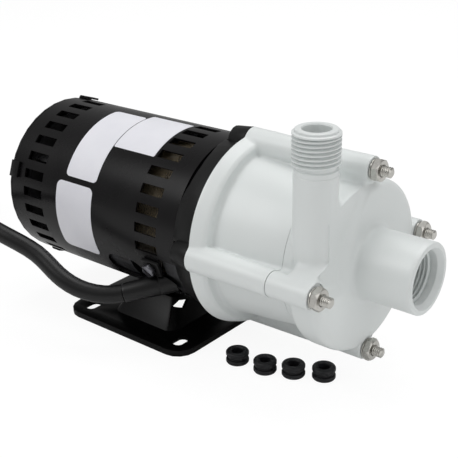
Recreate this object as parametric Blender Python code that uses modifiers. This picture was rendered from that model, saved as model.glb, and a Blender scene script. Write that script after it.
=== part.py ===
# Small magnetic drive pump: motor, magnet coupling and plastic pump end.
# The axle runs along X, the inlet points to +X, the discharge points up.
import math

import bmesh
import bpy
from mathutils import Euler, Matrix, Vector

mm = 0.001
gap = 0.3 * mm

# Axle and motor can
axle_height = 60.0 * mm
can_front_x = 5.1 * mm
can_radius = 42.7 * mm
can_length = 116.3 * mm
can_wall = 1.0 * mm
can_slots = 28
first_slot_angle = math.radians(83.5)
rear_slot_start = 9.4 * mm
rear_slot_length = 14.2 * mm
front_slot_end = 11.4 * mm
front_slot_length = 14.0 * mm
side_opening_length = 25.0 * mm
side_opening_width = 15.0 * mm
side_opening_angle = math.radians(121.5)
notch_drop = 8.9 * mm
notch_length = 11.5 * mm

# Rear cover
cover_sheet = 1.2 * mm
tab_width = 8.5 * mm
tab_reach = 5.0 * mm
tab_thickness = 1.1 * mm
tab_count = 4
first_tab_angle = math.radians(70.0)
rear_boss_height = 0.64 * mm
vent_radius = 27.0 * mm
vent_width = 6.0 * mm
vent_length = 15.0 * mm
vent_count = 8

# Bearings, front bell and shaft
bearing_radius = 8.0 * mm
bearing_width = 6.0 * mm
bearing_wall = 2.2 * mm
bell_depth = 10.0 * mm
bell_plate = 2.8 * mm
bell_rim = 2.0 * mm
shaft_radius = 4.0 * mm

# Stator, winding, rotor and fan
stator_start = 34.8 * mm
bore_radius = 20.5 * mm
stator_slots = 18
slot_mouth = 2.4 * mm
winding_inner = 25.0 * mm
winding_outer = 37.0 * mm
rear_turn_length = 8.7 * mm
front_turn_length = 19.7 * mm
bell_clearance = 4.5 * mm
air_gap = 0.5 * mm
end_ring_radius = 17.5 * mm
end_ring_length = 3.0 * mm
fan_radius = 36.0 * mm
fan_width = 10.0 * mm
fan_disc = 1.6 * mm
fan_hub_radius = 8.0 * mm
fan_blades = 8
fan_to_winding = 5.0 * mm

# Adapter and long bolts
adapter_length = 12.9 * mm
adapter_rear_radius = 43.4 * mm
adapter_front_radius = 44.6 * mm
adapter_plate = 5.0 * mm
adapter_rim = 4.4 * mm
adapter_hole_radius = 14.0 * mm
relief_depth = 2.4 * mm
relief_width = 37.0 * mm
relief_angle = math.radians(35.0)
bolt_circle_radius = 43.64 * mm
bolt_count = 4
bolt_radius = 2.4 * mm
bolt_head_radius = 4.0 * mm
bolt_head_height = 2.8 * mm
bolt_stub = 4.47 * mm
lug_radius = 6.8 * mm
lug_taper = 1.0 * mm
lug_chamfer = 3.2 * mm
washer_radius = 4.8 * mm
washer_thickness = 0.8 * mm
nut_across_flats = 9.53 * mm
nut_height = 3.2 * mm

# Magnet housing
housing_length = 44.2 * mm
housing_front_radius = 37.06 * mm
housing_rear_radius = 40.3 * mm
housing_wall = 3.3 * mm
lip_radius = 47.35 * mm
lip_front_radius = 45.6 * mm
lip_length = 7.5 * mm
boss_rear_radius = 6.8 * mm
boss_front_radius = 6.0 * mm
boss_web = 9.0 * mm

# Rear housing, the barrier between the two magnets
flange_radius = 33.6 * mm
flange_thickness = 2.6 * mm
flange_seat = 4.2 * mm
barrel_radius = 17.6 * mm
barrel_wall = 1.2 * mm
barrel_end_x = 28.6 * mm
barrel_end_wall = 2.0 * mm
spindle_radius = 3.0 * mm
spindle_socket_depth = 5.4 * mm
spindle_socket_wall = 2.3 * mm
o_ring_section = 1.0 * mm
o_ring_radius = 32.0 * mm

# Volute cover
cover_depth = 22.1 * mm
cover_wall = 3.6 * mm
cover_front_wall = 5.2 * mm
rim_radius = 37.2 * mm
rim_depth = 7.5 * mm
spiral_start_radius = 37.5 * mm
spiral_growth = 6.5 * mm
shoulder_radius = 4.0 * mm
chamber_radius = 29.3 * mm
cover_boss_setback = 1.2 * mm
cover_boss_radius = 5.8 * mm
inlet_radius = 16.45 * mm
inlet_length = 28.14 * mm
inlet_bore = 11.8 * mm
inlet_mouth = 13.4 * mm
inlet_bore_depth = 19.0 * mm
inlet_root = 1.8 * mm
eye_radius = 9.0 * mm
spider_ribs = 3
spider_thickness = 2.0 * mm
spider_depth = 3.0 * mm
discharge_y = -27.1 * mm
discharge_radius = 9.65 * mm
discharge_bore = 6.2 * mm
discharge_height = 66.5 * mm
thread_radius = 10.5 * mm
thread_length = 15.0 * mm
thread_top = 1.5 * mm

# Impeller
impeller_radius = 26.5 * mm
impeller_plate = 2.2 * mm
impeller_clearance = 1.0 * mm
impeller_vanes = 6
vane_thickness = 2.2 * mm
vane_sweep = math.radians(55.0)
hub_wall = 2.9 * mm
bushing_wall = 1.6 * mm
thrust_washer = 1.0 * mm
driven_magnet_radius = 14.6 * mm
driven_magnet_length = 23.0 * mm

# Drive hub and magnet
drive_hub_radius = 9.0 * mm
drive_hub_length = 8.0 * mm
drive_floor = 2.4 * mm
drive_wall = 2.2 * mm
drive_magnet_thickness = 6.3 * mm
drive_magnet_length = 27.0 * mm
magnet_clearance = 0.8 * mm
set_screw_radius = 1.6 * mm

# Base plate
base_length = 83.5 * mm
base_width = 83.6 * mm
base_centre_x = -35.95 * mm
base_height = 3.2 * mm
base_sheet = 1.6 * mm
base_corner = 10.0 * mm
base_slot_edge_x = 10.3 * mm
base_slot_edge_y = 10.4 * mm
base_slot_width = 5.8 * mm
base_slot_length = 8.8 * mm
base_slot_offset = 0.8 * mm
pedestal_centre_x = -33.7 * mm
pedestal_foot_x = 42.6 * mm
pedestal_foot_y = 56.6 * mm
pedestal_top_x = 30.6 * mm
pedestal_top_y = 36.8 * mm
base_screw_spread = 18.0 * mm
base_screw_setback = 5.6 * mm
base_screw_radius = 1.9 * mm
base_screw_head = 3.6 * mm

# Cord clamp, cord and grommets
clamp_x = -11.0 * mm
clamp_angle = math.radians(199.5)
clamp_length = 11.0 * mm
clamp_width = 8.2 * mm
clamp_thickness = 1.6 * mm
clamp_screw_flats = 6.35 * mm
clamp_screw_height = 2.6 * mm
clamp_screw_radius = 1.7 * mm
cord_radius = 4.5 * mm
exit_x = -7.0 * mm
exit_angle = math.radians(213.03)
relief_collar_radius = 5.4 * mm
relief_collar_length = 3.0 * mm
relief_boot_length = 21.0 * mm
coil_turn_radius = 48.0 * mm
coil_layers = 3
coil_columns = 2
coil_centre = Vector((-240.0 * mm, -40.0 * mm, 0.0))
plug_length = 28.0 * mm
plug_width = 24.0 * mm
plug_height = 20.0 * mm
contact_length = 17.0 * mm
contact_width = 6.3 * mm
contact_thickness = 1.5 * mm
contact_pitch = 12.7 * mm
grommet_radius = 5.6 * mm
grommet_bore = 2.8 * mm
grommet_height = 6.4 * mm
grommet_groove = 1.0 * mm
grommet_spots = [(27.7, -24.9), (43.3, -23.4), (56.1, -18.1), (68.9, -11.5)]

# Stations along the axle
can_rear_x = can_front_x - can_length
adapter_rear_x = can_front_x + gap
adapter_front_x = adapter_rear_x + adapter_length
housing_rear_x = adapter_front_x + gap
parting_x = housing_rear_x + housing_length
cover_rear_x = parting_x + gap
cover_front_x = cover_rear_x + cover_depth
inlet_end_x = cover_front_x + inlet_length
chamber_front_x = cover_front_x - cover_front_wall
boss_face_x = cover_front_x - cover_boss_setback
spiral_rear_x = cover_rear_x + rim_depth
washer_x = boss_face_x + gap
nut_x = washer_x + washer_thickness + gap
counterbore_x = adapter_rear_x + 2 * gap + bolt_head_height + gap
bell_front_x = can_front_x - gap
bell_rear_x = bell_front_x - bell_depth
winding_front_x = bell_rear_x - bell_clearance
stator_front_x = winding_front_x - front_turn_length
stator_rear_x = can_rear_x + stator_start
stator_length = stator_front_x - stator_rear_x
winding_rear_x = stator_rear_x - rear_turn_length
can_bore = can_radius - can_wall
flange_rear_x = parting_x - flange_thickness
discharge_x = cover_rear_x + discharge_radius + 0.05 * mm
pedestal_top_z = axle_height - can_radius - gap
bolt_hole = bolt_radius + gap

along_axle = (math.pi / 2, 0.0, math.pi / 2)
on_axle = (0.0, 0.0, axle_height)
along_matrix = Euler(along_axle).to_matrix()

for old in list(bpy.data.objects):
    bpy.data.objects.remove(old, do_unlink=True)


def new_collection(name):
    group = bpy.data.collections.new(name)
    bpy.context.scene.collection.children.link(group)
    return group


parts = new_collection("magnetic_drive_pump")
cutters = new_collection("cutters")


# Objects and materials

def put(name, mesh, location=(0, 0, 0), rotation=(0, 0, 0)):
    made = bpy.data.objects.new(name, mesh)
    made.location = location
    made.rotation_euler = rotation
    parts.objects.link(made)
    return made


def as_tool(made):
    # A cutter or a piece that another object takes in
    for group in list(made.users_collection):
        group.objects.unlink(made)
    cutters.objects.link(made)
    made.hide_render = True
    made.display_type = "WIRE"
    return made


def paint(made, colour, roughness, metallic=0.0):
    look = bpy.data.materials.new(made.name + "_look")
    look.use_nodes = True
    shader = look.node_tree.nodes["Principled BSDF"]
    shader.inputs["Base Color"].default_value = (*colour, 1.0)
    shader.inputs["Roughness"].default_value = roughness
    shader.inputs["Metallic"].default_value = metallic
    made.data.materials.append(look)
    return made


def mesh_from(name, work):
    mesh = bpy.data.meshes.new(name)
    work.to_mesh(mesh)
    work.free()
    mesh.shade_smooth()
    mesh.set_sharp_from_angle(angle=math.radians(35))
    return mesh


def boolean(target, tool, operation):
    step = target.modifiers.new(operation.lower() + "_" + tool.name, "BOOLEAN")
    step.object = tool
    step.operation = operation
    step.solver = "EXACT"
    return target


def cut(target, *tools):
    for tool in tools:
        boolean(target, as_tool(tool), "DIFFERENCE")
    return target


def join(target, *tools):
    for tool in tools:
        boolean(target, as_tool(tool), "UNION")
    return target


# Shapes

def turned(name, outline, steps=48, closed=True, location=on_axle, rotation=along_axle):
    # The outline holds (station, radius) pairs. It runs down the outer side
    # from the high end to the low one, then back up the inner side.
    work = bmesh.new()
    points = [work.verts.new((radius, 0.0, station)) for station, radius in outline]
    for here, there in zip(points, points[1:]):
        work.edges.new((here, there))
    if closed:
        work.edges.new((points[-1], points[0]))
    mesh = bpy.data.meshes.new(name)
    work.to_mesh(mesh)
    work.free()
    made = put(name, mesh, location, rotation)
    screw = made.modifiers.new("turn", "SCREW")
    screw.steps = steps
    screw.render_steps = steps
    screw.use_merge_vertices = True
    screw.merge_threshold = 0.00001
    return made


def rod(name, radius, start, end, segments=24, end_radius=None):
    # A cylinder or cone between two points
    start = Vector(start)
    end = Vector(end)
    work = bmesh.new()
    bmesh.ops.create_cone(
        work, cap_ends=True, segments=segments, radius1=radius,
        radius2=radius if end_radius is None else end_radius, depth=(end - start).length)
    turn = (end - start).to_track_quat("Z", "Y").to_euler()
    return put(name, mesh_from(name, work), (start + end) / 2, turn)


def box(name, size, centre, rotation=(0, 0, 0)):
    work = bmesh.new()
    bmesh.ops.create_cube(work, size=1.0)
    bmesh.ops.scale(work, vec=size, verts=work.verts)
    return put(name, mesh_from(name, work), centre, rotation)


def on_circle(radius, angle, x):
    return Vector((x, radius * math.cos(angle), axle_height + radius * math.sin(angle)))


def rods_round(name, sections, segments=16, circle=bolt_circle_radius,
               count=bolt_count, first=0.0):
    # Rods parallel to the axle, evenly spaced on a circle. Each section is
    # a station and a radius, from the rear to the front.
    work = bmesh.new()
    for index in range(count):
        angle = first + 2 * math.pi * index / count
        shift = Vector((circle * math.cos(angle), circle * math.sin(angle), 0))
        verts = bmesh.ops.create_circle(
            work, cap_ends=True, segments=segments, radius=sections[0][1])["verts"]
        bmesh.ops.translate(work, vec=(0, 0, sections[0][0]), verts=verts)
        end = verts[0].link_faces[0]
        made = list(verts)
        for low, high in zip(sections, sections[1:]):
            drawn = bmesh.ops.extrude_face_region(work, geom=[end])["geom"]
            verts = [part for part in drawn if isinstance(part, bmesh.types.BMVert)]
            grown = high[1] / low[1]
            bmesh.ops.scale(work, vec=(grown, grown, 1), verts=verts)
            bmesh.ops.translate(work, vec=(0, 0, high[0] - low[0]), verts=verts)
            if low is not sections[0]:
                bmesh.ops.delete(work, geom=[end], context="FACES_ONLY")
            end = [part for part in drawn if isinstance(part, bmesh.types.BMFace)][0]
            made += verts
        bmesh.ops.translate(work, vec=shift, verts=made)
    bmesh.ops.recalc_face_normals(work, faces=work.faces)
    return put(name, mesh_from(name, work), on_axle, along_axle)


def boxes_round(name, length, width, inner, outer, x_centre, count, first=0.0):
    # Blocks that stand out from the axle, evenly spaced
    work = bmesh.new()
    for index in range(count):
        angle = first + 2 * math.pi * index / count
        made = bmesh.ops.create_cube(work, size=1.0)["verts"]
        bmesh.ops.scale(work, vec=(outer - inner, width, length), verts=made)
        bmesh.ops.translate(work, vec=((inner + outer) / 2, 0, x_centre), verts=made)
        bmesh.ops.rotate(work, cent=(0, 0, 0), verts=made, matrix=turn_about_z(angle))
    return put(name, mesh_from(name, work), on_axle, along_axle)


def turn_about_z(angle):
    return Matrix.Rotation(angle, 3, "Z")


def prism(name, work, depth, location, rotation):
    # Gives depth to the one flat face in work, half to each side
    bmesh.ops.translate(work, vec=(0, 0, -depth / 2), verts=work.verts)
    risen = bmesh.ops.extrude_face_region(work, geom=work.faces[:])["geom"]
    top = [part for part in risen if isinstance(part, bmesh.types.BMVert)]
    bmesh.ops.translate(work, vec=(0, 0, depth), verts=top)
    bmesh.ops.recalc_face_normals(work, faces=work.faces)
    return put(name, mesh_from(name, work), location, rotation)


def obround(name, length, width, depth, location, rotation, segments=16):
    # A prism with round ends, long along its own Y
    work = bmesh.new()
    bmesh.ops.create_circle(work, cap_ends=True, segments=segments, radius=width / 2)
    bmesh.ops.rotate(
        work, cent=(0, 0, 0), verts=work.verts,
        matrix=turn_about_z(math.pi / segments))
    for vert in work.verts:
        vert.co.y += math.copysign((length - width) / 2, vert.co.y)
    return prism(name, work, depth, location, rotation)


def outline_prism(name, outline, depth, location=on_axle, rotation=along_axle):
    # A prism from one closed outline
    work = bmesh.new()
    points = [work.verts.new((across, up, 0.0)) for across, up in outline]
    edges = [work.edges.new((here, there))
             for here, there in zip(points, points[1:] + points[:1])]
    bmesh.ops.contextual_create(work, geom=edges)
    return prism(name, work, depth, location, rotation)


def flat_curve(name, outlines, depth, location=on_axle, rotation=along_axle):
    # A flat shape from closed outlines, made a mesh so that Booleans can take it
    curve = bpy.data.curves.new(name, "CURVE")
    curve.dimensions = "2D"
    curve.fill_mode = "BOTH"
    curve.extrude = depth / 2
    for outline in outlines:
        line = curve.splines.new("POLY")
        line.points.add(len(outline) - 1)
        for point, (across, up) in zip(line.points, outline):
            point.co = (across, up, 0.0, 1.0)
        line.use_cyclic_u = True
    return meshed(put(name, curve, location, rotation))


def meshed(made):
    # A curve object becomes a mesh with its caps welded on
    graph = bpy.context.evaluated_depsgraph_get()
    mesh = bpy.data.meshes.new_from_object(made.evaluated_get(graph))
    work = bmesh.new()
    work.from_mesh(mesh)
    bmesh.ops.remove_doubles(work, verts=work.verts, dist=0.00001)
    bmesh.ops.recalc_face_normals(work, faces=work.faces)
    work.to_mesh(mesh)
    work.free()
    name = made.name
    place = made.matrix_world.copy()
    bpy.data.objects.remove(made, do_unlink=True)
    solid = bpy.data.objects.new(name, mesh)
    solid.matrix_world = place
    parts.objects.link(solid)
    return solid


def tube(name, points, radius):
    # A round tube along one smooth spline with these control points
    curve = bpy.data.curves.new(name, "CURVE")
    curve.dimensions = "3D"
    curve.bevel_depth = radius
    curve.bevel_resolution = 3
    curve.resolution_u = 3
    curve.render_resolution_u = 3
    curve.use_fill_caps = True
    line = curve.splines.new("NURBS")
    line.points.add(len(points) - 1)
    for point, place in zip(line.points, points):
        point.co = (*place, 1.0)
    line.order_u = 4
    line.use_endpoint_u = True
    return meshed(put(name, curve))


# Motor can: a rolled sleeve with two rings of cooling slots

def make_can():
    # The sleeve's own stations, which bound the slots
    stations = [
        can_rear_x,
        can_rear_x + rear_slot_start,
        can_rear_x + rear_slot_start + rear_slot_length,
        can_front_x - front_slot_end - front_slot_length,
        can_front_x - front_slot_end,
        can_front_x]
    work = bmesh.new()
    bmesh.ops.create_circle(work, segments=2 * can_slots, radius=can_radius)
    pitch = math.pi / can_slots
    bmesh.ops.rotate(
        work, cent=(0, 0, 0), verts=work.verts,
        matrix=turn_about_z(first_slot_angle - pitch / 2))
    bmesh.ops.translate(work, vec=(0, 0, stations[0]), verts=work.verts)
    rim = work.edges[:]
    for low, high in zip(stations, stations[1:]):
        drawn = bmesh.ops.extrude_edge_only(work, edges=rim)["geom"]
        verts = [part for part in drawn if isinstance(part, bmesh.types.BMVert)]
        rim = [part for part in drawn if isinstance(part, bmesh.types.BMEdge)]
        bmesh.ops.translate(work, vec=(0, 0, high - low), verts=verts)
    work.normal_update()
    inward = [face for face in work.faces
              if face.normal.dot(face.calc_center_median() * Vector((1, 1, 0))) < 0]
    bmesh.ops.reverse_faces(work, faces=inward)
    opened = []
    for face in work.faces:
        centre = face.calc_center_median()
        angle = math.atan2(centre.y, centre.x)
        steps = round((angle - first_slot_angle) / pitch)
        if steps % 2:
            continue
        in_rear = stations[1] < centre.z < stations[2]
        in_front = stations[3] < centre.z < stations[4]
        if in_rear or (in_front and math.sin(angle) > -math.sin(pitch * 1.6)):
            opened.append(face)
    bmesh.ops.delete(work, geom=opened, context="FACES")
    can = put("motor_can", mesh_from("motor_can", work), on_axle, along_axle)
    wall = can.modifiers.new("wall", "SOLIDIFY")
    wall.thickness = can_wall
    wall.offset = -1.0
    wall.use_even_offset = True
    notch_top = axle_height - notch_drop
    notch_height = notch_top - (axle_height - can_radius) + 2 * can_wall
    notch = box(
        "notch_cutter", (notch_length + can_wall, 2.2 * can_radius, notch_height),
        (can_front_x - notch_length / 2 + can_wall / 2, 0, notch_top - notch_height / 2))
    cut(can, notch)
    opening_x = can_front_x - front_slot_end - front_slot_length - side_opening_length / 2
    for side in (1, -1):
        turn = side * side_opening_angle
        spot = on_circle(can_radius, math.pi / 2 + turn, opening_x)
        out = Vector((0, math.cos(math.pi / 2 + turn), math.sin(math.pi / 2 + turn)))
        opening = obround(
            "side_opening_%d" % side, side_opening_length, side_opening_width,
            8 * can_wall, spot, out.to_track_quat("Z", "X").to_euler())
        cut(can, opening)
    return can


motor_can = make_can()

# Rear cover: a pressed disc whose four tabs bend over the can's edge

cover_front_face = can_rear_x - gap
cover_back_face = cover_front_face - cover_sheet
bearing_seat = bearing_radius + gap
bearing_rear_x = cover_front_face + gap
boss_radius = bearing_seat + bearing_wall
rear_cover = turned("rear_cover", [
    (bearing_rear_x + bearing_width, boss_radius),
    (cover_front_face, boss_radius),
    (cover_front_face, can_radius),
    (cover_back_face, can_radius),
    (cover_back_face, boss_radius),
    (cover_back_face - rear_boss_height, boss_radius - rear_boss_height),
    (cover_back_face - rear_boss_height, shaft_radius + gap),
    (cover_front_face, shaft_radius + gap),
    (cover_front_face, bearing_seat),
    (bearing_rear_x + bearing_width, bearing_seat)], steps=36)


tab_back = cover_back_face - gap / 6
tab_inner = can_radius + gap
tab_outer = tab_inner + tab_thickness
tab_outline = [
    (tab_back, can_radius - tab_width / 2),
    (tab_back, tab_outer - tab_thickness),
    (tab_back + tab_thickness * 0.3, tab_outer - tab_thickness * 0.3),
    (tab_back + tab_thickness, tab_outer),
    (can_rear_x + tab_reach, tab_outer),
    (can_rear_x + tab_reach, tab_inner),
    (cover_front_face - gap / 6, tab_inner),
    (cover_front_face - gap / 6, can_radius - tab_width / 2)]
for index in range(tab_count):
    angle = first_tab_angle + 2 * math.pi * index / tab_count
    join(rear_cover, outline_prism(
        "tab_%d" % (index + 1), tab_outline, tab_width, on_axle, (angle, 0, 0)))
for index in range(vent_count):
    angle = 2 * math.pi * index / vent_count
    spot = on_circle(vent_radius, angle, cover_front_face)
    vent = obround(
        "vent_%d" % (index + 1), vent_length, vent_width, 6 * cover_sheet, spot,
        (math.pi / 2, 0, math.pi / 2), segments=12)
    vent.rotation_euler = (Matrix.Rotation(angle, 3, "X") @ along_matrix).to_euler()
    cut(rear_cover, vent)
paint(rear_cover, (0.02, 0.02, 0.022), 0.35, 0.0)
paint(motor_can, (0.02, 0.02, 0.022), 0.35, 0.0)

# Front bell: closes the can towards the adapter and holds the front bearing
bell_radius = can_bore - gap
front_bell = turned("front_bell", [
    (bell_front_x, bell_radius),
    (bell_rear_x, bell_radius),
    (bell_rear_x, bell_radius - bell_rim),
    (bell_front_x - bell_plate, bell_radius - bell_rim),
    (bell_front_x - bell_plate, boss_radius),
    (bell_rear_x, boss_radius),
    (bell_rear_x, bearing_seat),
    (bell_front_x - 2 * cover_sheet, bearing_seat),
    (bell_front_x - 2 * cover_sheet, shaft_radius + gap),
    (bell_front_x, shaft_radius + gap)], 28)
paint(front_bell, (0.03, 0.03, 0.03), 0.5, 0.2)


def ring(name, x_rear, x_front, inner, outer, steps=32):
    return turned(name, [
        (x_front, outer), (x_rear, outer), (x_rear, inner), (x_front, inner)], steps)


front_bearing_x = bell_front_x - 2 * cover_sheet - gap
rear_bearing = ring(
    "rear_bearing", bearing_rear_x, bearing_rear_x + bearing_width,
    shaft_radius + gap, bearing_radius, 16)
front_bearing = ring(
    "front_bearing", front_bearing_x - bearing_width, front_bearing_x,
    shaft_radius + gap, bearing_radius, 16)
for bearing in (rear_bearing, front_bearing):
    paint(bearing, (0.5, 0.5, 0.5), 0.3, 1.0)

# Stator core: a slotted stack, with the winding's bars through its slots
bar_turn = math.pi / stator_slots / 2


def stator_outline():
    points = []
    for index in range(stator_slots):
        middle = 2 * math.pi * index / stator_slots
        for radius, half in (
                (bore_radius, slot_mouth / 2),
                (winding_inner - gap, slot_mouth / 2),
                (winding_inner - gap, winding_inner * math.sin(bar_turn) + gap),
                (winding_outer + gap, winding_outer * math.sin(bar_turn) + gap)):
            points.append((middle, radius, -half))
        for radius, half in (
                (winding_outer + gap, winding_outer * math.sin(bar_turn) + gap),
                (winding_inner - gap, winding_inner * math.sin(bar_turn) + gap),
                (winding_inner - gap, slot_mouth / 2),
                (bore_radius, slot_mouth / 2)):
            points.append((middle, radius, half))
    return [(radius * math.cos(middle) - side * math.sin(middle),
             radius * math.sin(middle) + side * math.cos(middle))
            for middle, radius, side in points]


def circle_outline(radius, count):
    return [(radius * math.cos(2 * math.pi * step / count),
             radius * math.sin(2 * math.pi * step / count)) for step in range(count)]


stator_core = flat_curve(
    "stator_core", [circle_outline(can_bore - gap, 48), stator_outline()], stator_length,
    (stator_rear_x + stator_length / 2, 0, axle_height))
paint(stator_core, (0.25, 0.25, 0.26), 0.45, 0.9)


def make_winding():
    # A sleeve at the bars' middle radius: whole at both ends, bars between
    stations = [
        winding_rear_x, stator_rear_x - gap, stator_front_x + gap, winding_front_x]
    work = bmesh.new()
    bmesh.ops.create_circle(
        work, segments=2 * stator_slots, radius=(winding_inner + winding_outer) / 2)
    bmesh.ops.rotate(work, cent=(0, 0, 0), verts=work.verts, matrix=turn_about_z(bar_turn))
    bmesh.ops.translate(work, vec=(0, 0, stations[0]), verts=work.verts)
    rim = work.edges[:]
    for low, high in zip(stations, stations[1:]):
        drawn = bmesh.ops.extrude_edge_only(work, edges=rim)["geom"]
        verts = [part for part in drawn if isinstance(part, bmesh.types.BMVert)]
        rim = [part for part in drawn if isinstance(part, bmesh.types.BMEdge)]
        bmesh.ops.translate(work, vec=(0, 0, high - low), verts=verts)
    bmesh.ops.recalc_face_normals(work, faces=work.faces)
    teeth = []
    for face in work.faces:
        centre = face.calc_center_median()
        step = round(math.atan2(centre.y, centre.x) / (2 * bar_turn))
        if stations[1] < centre.z < stations[2] and step % 2:
            teeth.append(face)
    bmesh.ops.delete(work, geom=teeth, context="FACES")
    made = put("winding", mesh_from("winding", work), on_axle, along_axle)
    body = made.modifiers.new("bulk", "SOLIDIFY")
    body.thickness = winding_outer - winding_inner
    body.offset = 0.0
    return made


winding = paint(make_winding(), (0.35, 0.17, 0.06), 0.5, 0.3)

# Motor shaft and what turns with it
shaft_rear_x = cover_front_face + gap
drive_hub_x = adapter_front_x + gap
drive_floor_x = drive_hub_x + drive_hub_length
shaft_front_x = drive_floor_x - gap
motor_shaft = turned("motor_shaft", [
    (shaft_front_x, 0.0), (shaft_front_x, shaft_radius - gap),
    (shaft_front_x - gap, shaft_radius), (shaft_rear_x + gap, shaft_radius),
    (shaft_rear_x, shaft_radius - gap), (shaft_rear_x, 0.0)], 20, closed=False)
paint(motor_shaft, (0.6, 0.6, 0.6), 0.25, 1.0)
on_shaft = shaft_radius + gap
rotor_radius = bore_radius - air_gap
rotor_core = turned("rotor_core", [
    (stator_front_x + end_ring_length, end_ring_radius),
    (stator_front_x, end_ring_radius),
    (stator_front_x, rotor_radius),
    (stator_rear_x, rotor_radius),
    (stator_rear_x, end_ring_radius),
    (stator_rear_x - end_ring_length, end_ring_radius),
    (stator_rear_x - end_ring_length, on_shaft),
    (stator_front_x + end_ring_length, on_shaft)], 32)
paint(rotor_core, (0.45, 0.45, 0.46), 0.4, 0.9)
fan_front_x = winding_rear_x - fan_to_winding
cooling_fan = turned("cooling_fan", [
    (fan_front_x, fan_hub_radius),
    (fan_front_x - fan_width + fan_disc, fan_hub_radius),
    (fan_front_x - fan_width + fan_disc, fan_radius - fan_disc),
    (fan_front_x - fan_width, fan_radius - fan_disc),
    (fan_front_x - fan_width, on_shaft),
    (fan_front_x, on_shaft)], 32)
join(cooling_fan, boxes_round(
    "fan_blades", fan_width - fan_disc / 2, fan_disc, (on_shaft + fan_hub_radius) / 2,
    fan_radius, fan_front_x - fan_width / 2 + fan_disc / 4, fan_blades))
paint(cooling_fan, (0.03, 0.03, 0.03), 0.5)

# Adapter: the black die-cast ring that carries the pump end
adapter = turned("adapter", [
    (adapter_front_x, adapter_front_radius),
    (adapter_rear_x + gap, adapter_rear_radius),
    (adapter_rear_x, adapter_rear_radius - gap),
    (adapter_rear_x, adapter_rear_radius - adapter_rim),
    (adapter_front_x - adapter_plate, adapter_rear_radius - adapter_rim),
    (adapter_front_x - adapter_plate, adapter_hole_radius),
    (adapter_front_x, adapter_hole_radius)], 48)
lug_bend_x = adapter_rear_x + lug_chamfer
join(
    adapter,
    rods_round("lugs", [
        (adapter_rear_x + gap / 3, lug_radius - lug_taper - lug_chamfer),
        (lug_bend_x, lug_radius - lug_taper),
        (adapter_front_x - gap / 3, lug_radius)]))
relief_radius = (relief_width ** 2 / 4 + relief_depth ** 2) / (2 * relief_depth)
for index, turn in enumerate((relief_angle, -relief_angle, math.pi - relief_angle,
                              math.pi + relief_angle)):
    angle = math.pi / 2 + turn
    relief_x = adapter_rear_x + relief_depth - relief_radius
    cut(adapter, rod(
        "relief_%d" % (index + 1), relief_radius,
        on_circle(adapter_rear_radius - adapter_rim - adapter_plate, angle, relief_x),
        on_circle(adapter_front_radius + lug_radius, angle, relief_x), 48))
cut(
    adapter,
    rods_round("counterbores", [
        (adapter_rear_x - gap, bolt_head_radius + 2 * gap),
        (counterbore_x, bolt_head_radius + 2 * gap)], 16),
    rods_round("adapter_holes", [
        (adapter_rear_x - gap, bolt_hole), (adapter_front_x + gap, bolt_hole)], 12))
paint(adapter, (0.02, 0.02, 0.022), 0.4)

# Magnet housing: the white drum with its stepped rear rim and four bosses
lip_front_x = housing_rear_x + lip_length
housing_taper = (housing_rear_radius - housing_front_radius) / (parting_x - lip_front_x)
flange_seat_x = flange_rear_x - gap
hollow_front_x = flange_seat_x - housing_wall
hollow_front_radius = (
    housing_front_radius + housing_taper * (parting_x - hollow_front_x) - housing_wall)
hollow_rear_radius = housing_rear_radius - housing_wall
seat_radius = flange_radius + gap
magnet_housing = turned("magnet_housing", [
    (parting_x, 0.0),
    (parting_x, housing_front_radius),
    (lip_front_x + 2 * gap, housing_rear_radius),
    (lip_front_x, housing_rear_radius + 2 * gap),
    (lip_front_x, lip_front_radius - gap),
    (lip_front_x - gap, lip_front_radius),
    (housing_rear_x + gap, lip_radius),
    (housing_rear_x, lip_radius - gap),
    (housing_rear_x, 0.0)], 48, closed=False)
join(
    magnet_housing,
    rods_round("housing_bosses", [
        (housing_rear_x + gap / 3, boss_rear_radius),
        (parting_x - gap / 3, boss_front_radius)]),
    boxes_round("housing_webs", housing_length - gap, boss_web,
                (hollow_front_radius + housing_front_radius) / 2, bolt_circle_radius,
                (housing_rear_x + parting_x) / 2, bolt_count))
cut(
    magnet_housing,
    turned("housing_hollow", [
        (parting_x + gap, 0.0),
        (parting_x + gap, seat_radius),
        (flange_seat_x, seat_radius),
        (flange_seat_x, seat_radius - flange_seat),
        (hollow_front_x, seat_radius - flange_seat),
        (hollow_front_x, hollow_front_radius),
        (housing_rear_x - gap, hollow_rear_radius),
        (housing_rear_x - gap, 0.0)], 40, closed=False),
    rods_round("housing_holes", [
        (housing_rear_x - gap, bolt_hole), (parting_x + gap, bolt_hole)], 12))
paint(magnet_housing, (0.72, 0.77, 0.75), 0.35)

# Rear housing, spindle and the seal
barrel_bottom_x = barrel_end_x + barrel_end_wall
socket_x = barrel_bottom_x + spindle_socket_depth
spindle_hole = spindle_radius + gap
barrel_bore = barrel_radius - barrel_wall
rear_housing = turned("rear_housing", [
    (barrel_bottom_x, 0.0),
    (barrel_bottom_x, spindle_hole),
    (socket_x, spindle_hole),
    (socket_x, spindle_hole + spindle_socket_wall),
    (barrel_bottom_x, spindle_hole + spindle_socket_wall),
    (barrel_bottom_x, barrel_bore),
    (parting_x, barrel_bore),
    (parting_x, flange_radius),
    (flange_rear_x, flange_radius),
    (flange_rear_x, barrel_radius),
    (barrel_end_x, barrel_radius),
    (barrel_end_x, 0.0)], 28, closed=False)
paint(rear_housing, (0.7, 0.7, 0.68), 0.4)
o_ring_x = parting_x + gap + o_ring_section
o_ring = turned("o_ring", [
    (o_ring_x + o_ring_section * math.sin(turn), o_ring_radius + o_ring_section * math.cos(turn))
    for turn in (math.pi * (0.5 - step / 3) for step in range(6))], 24)
paint(o_ring, (0.02, 0.02, 0.02), 0.7)

# Volute cover: inlet, spiral casing, discharge pipe and bosses in one moulding


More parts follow.
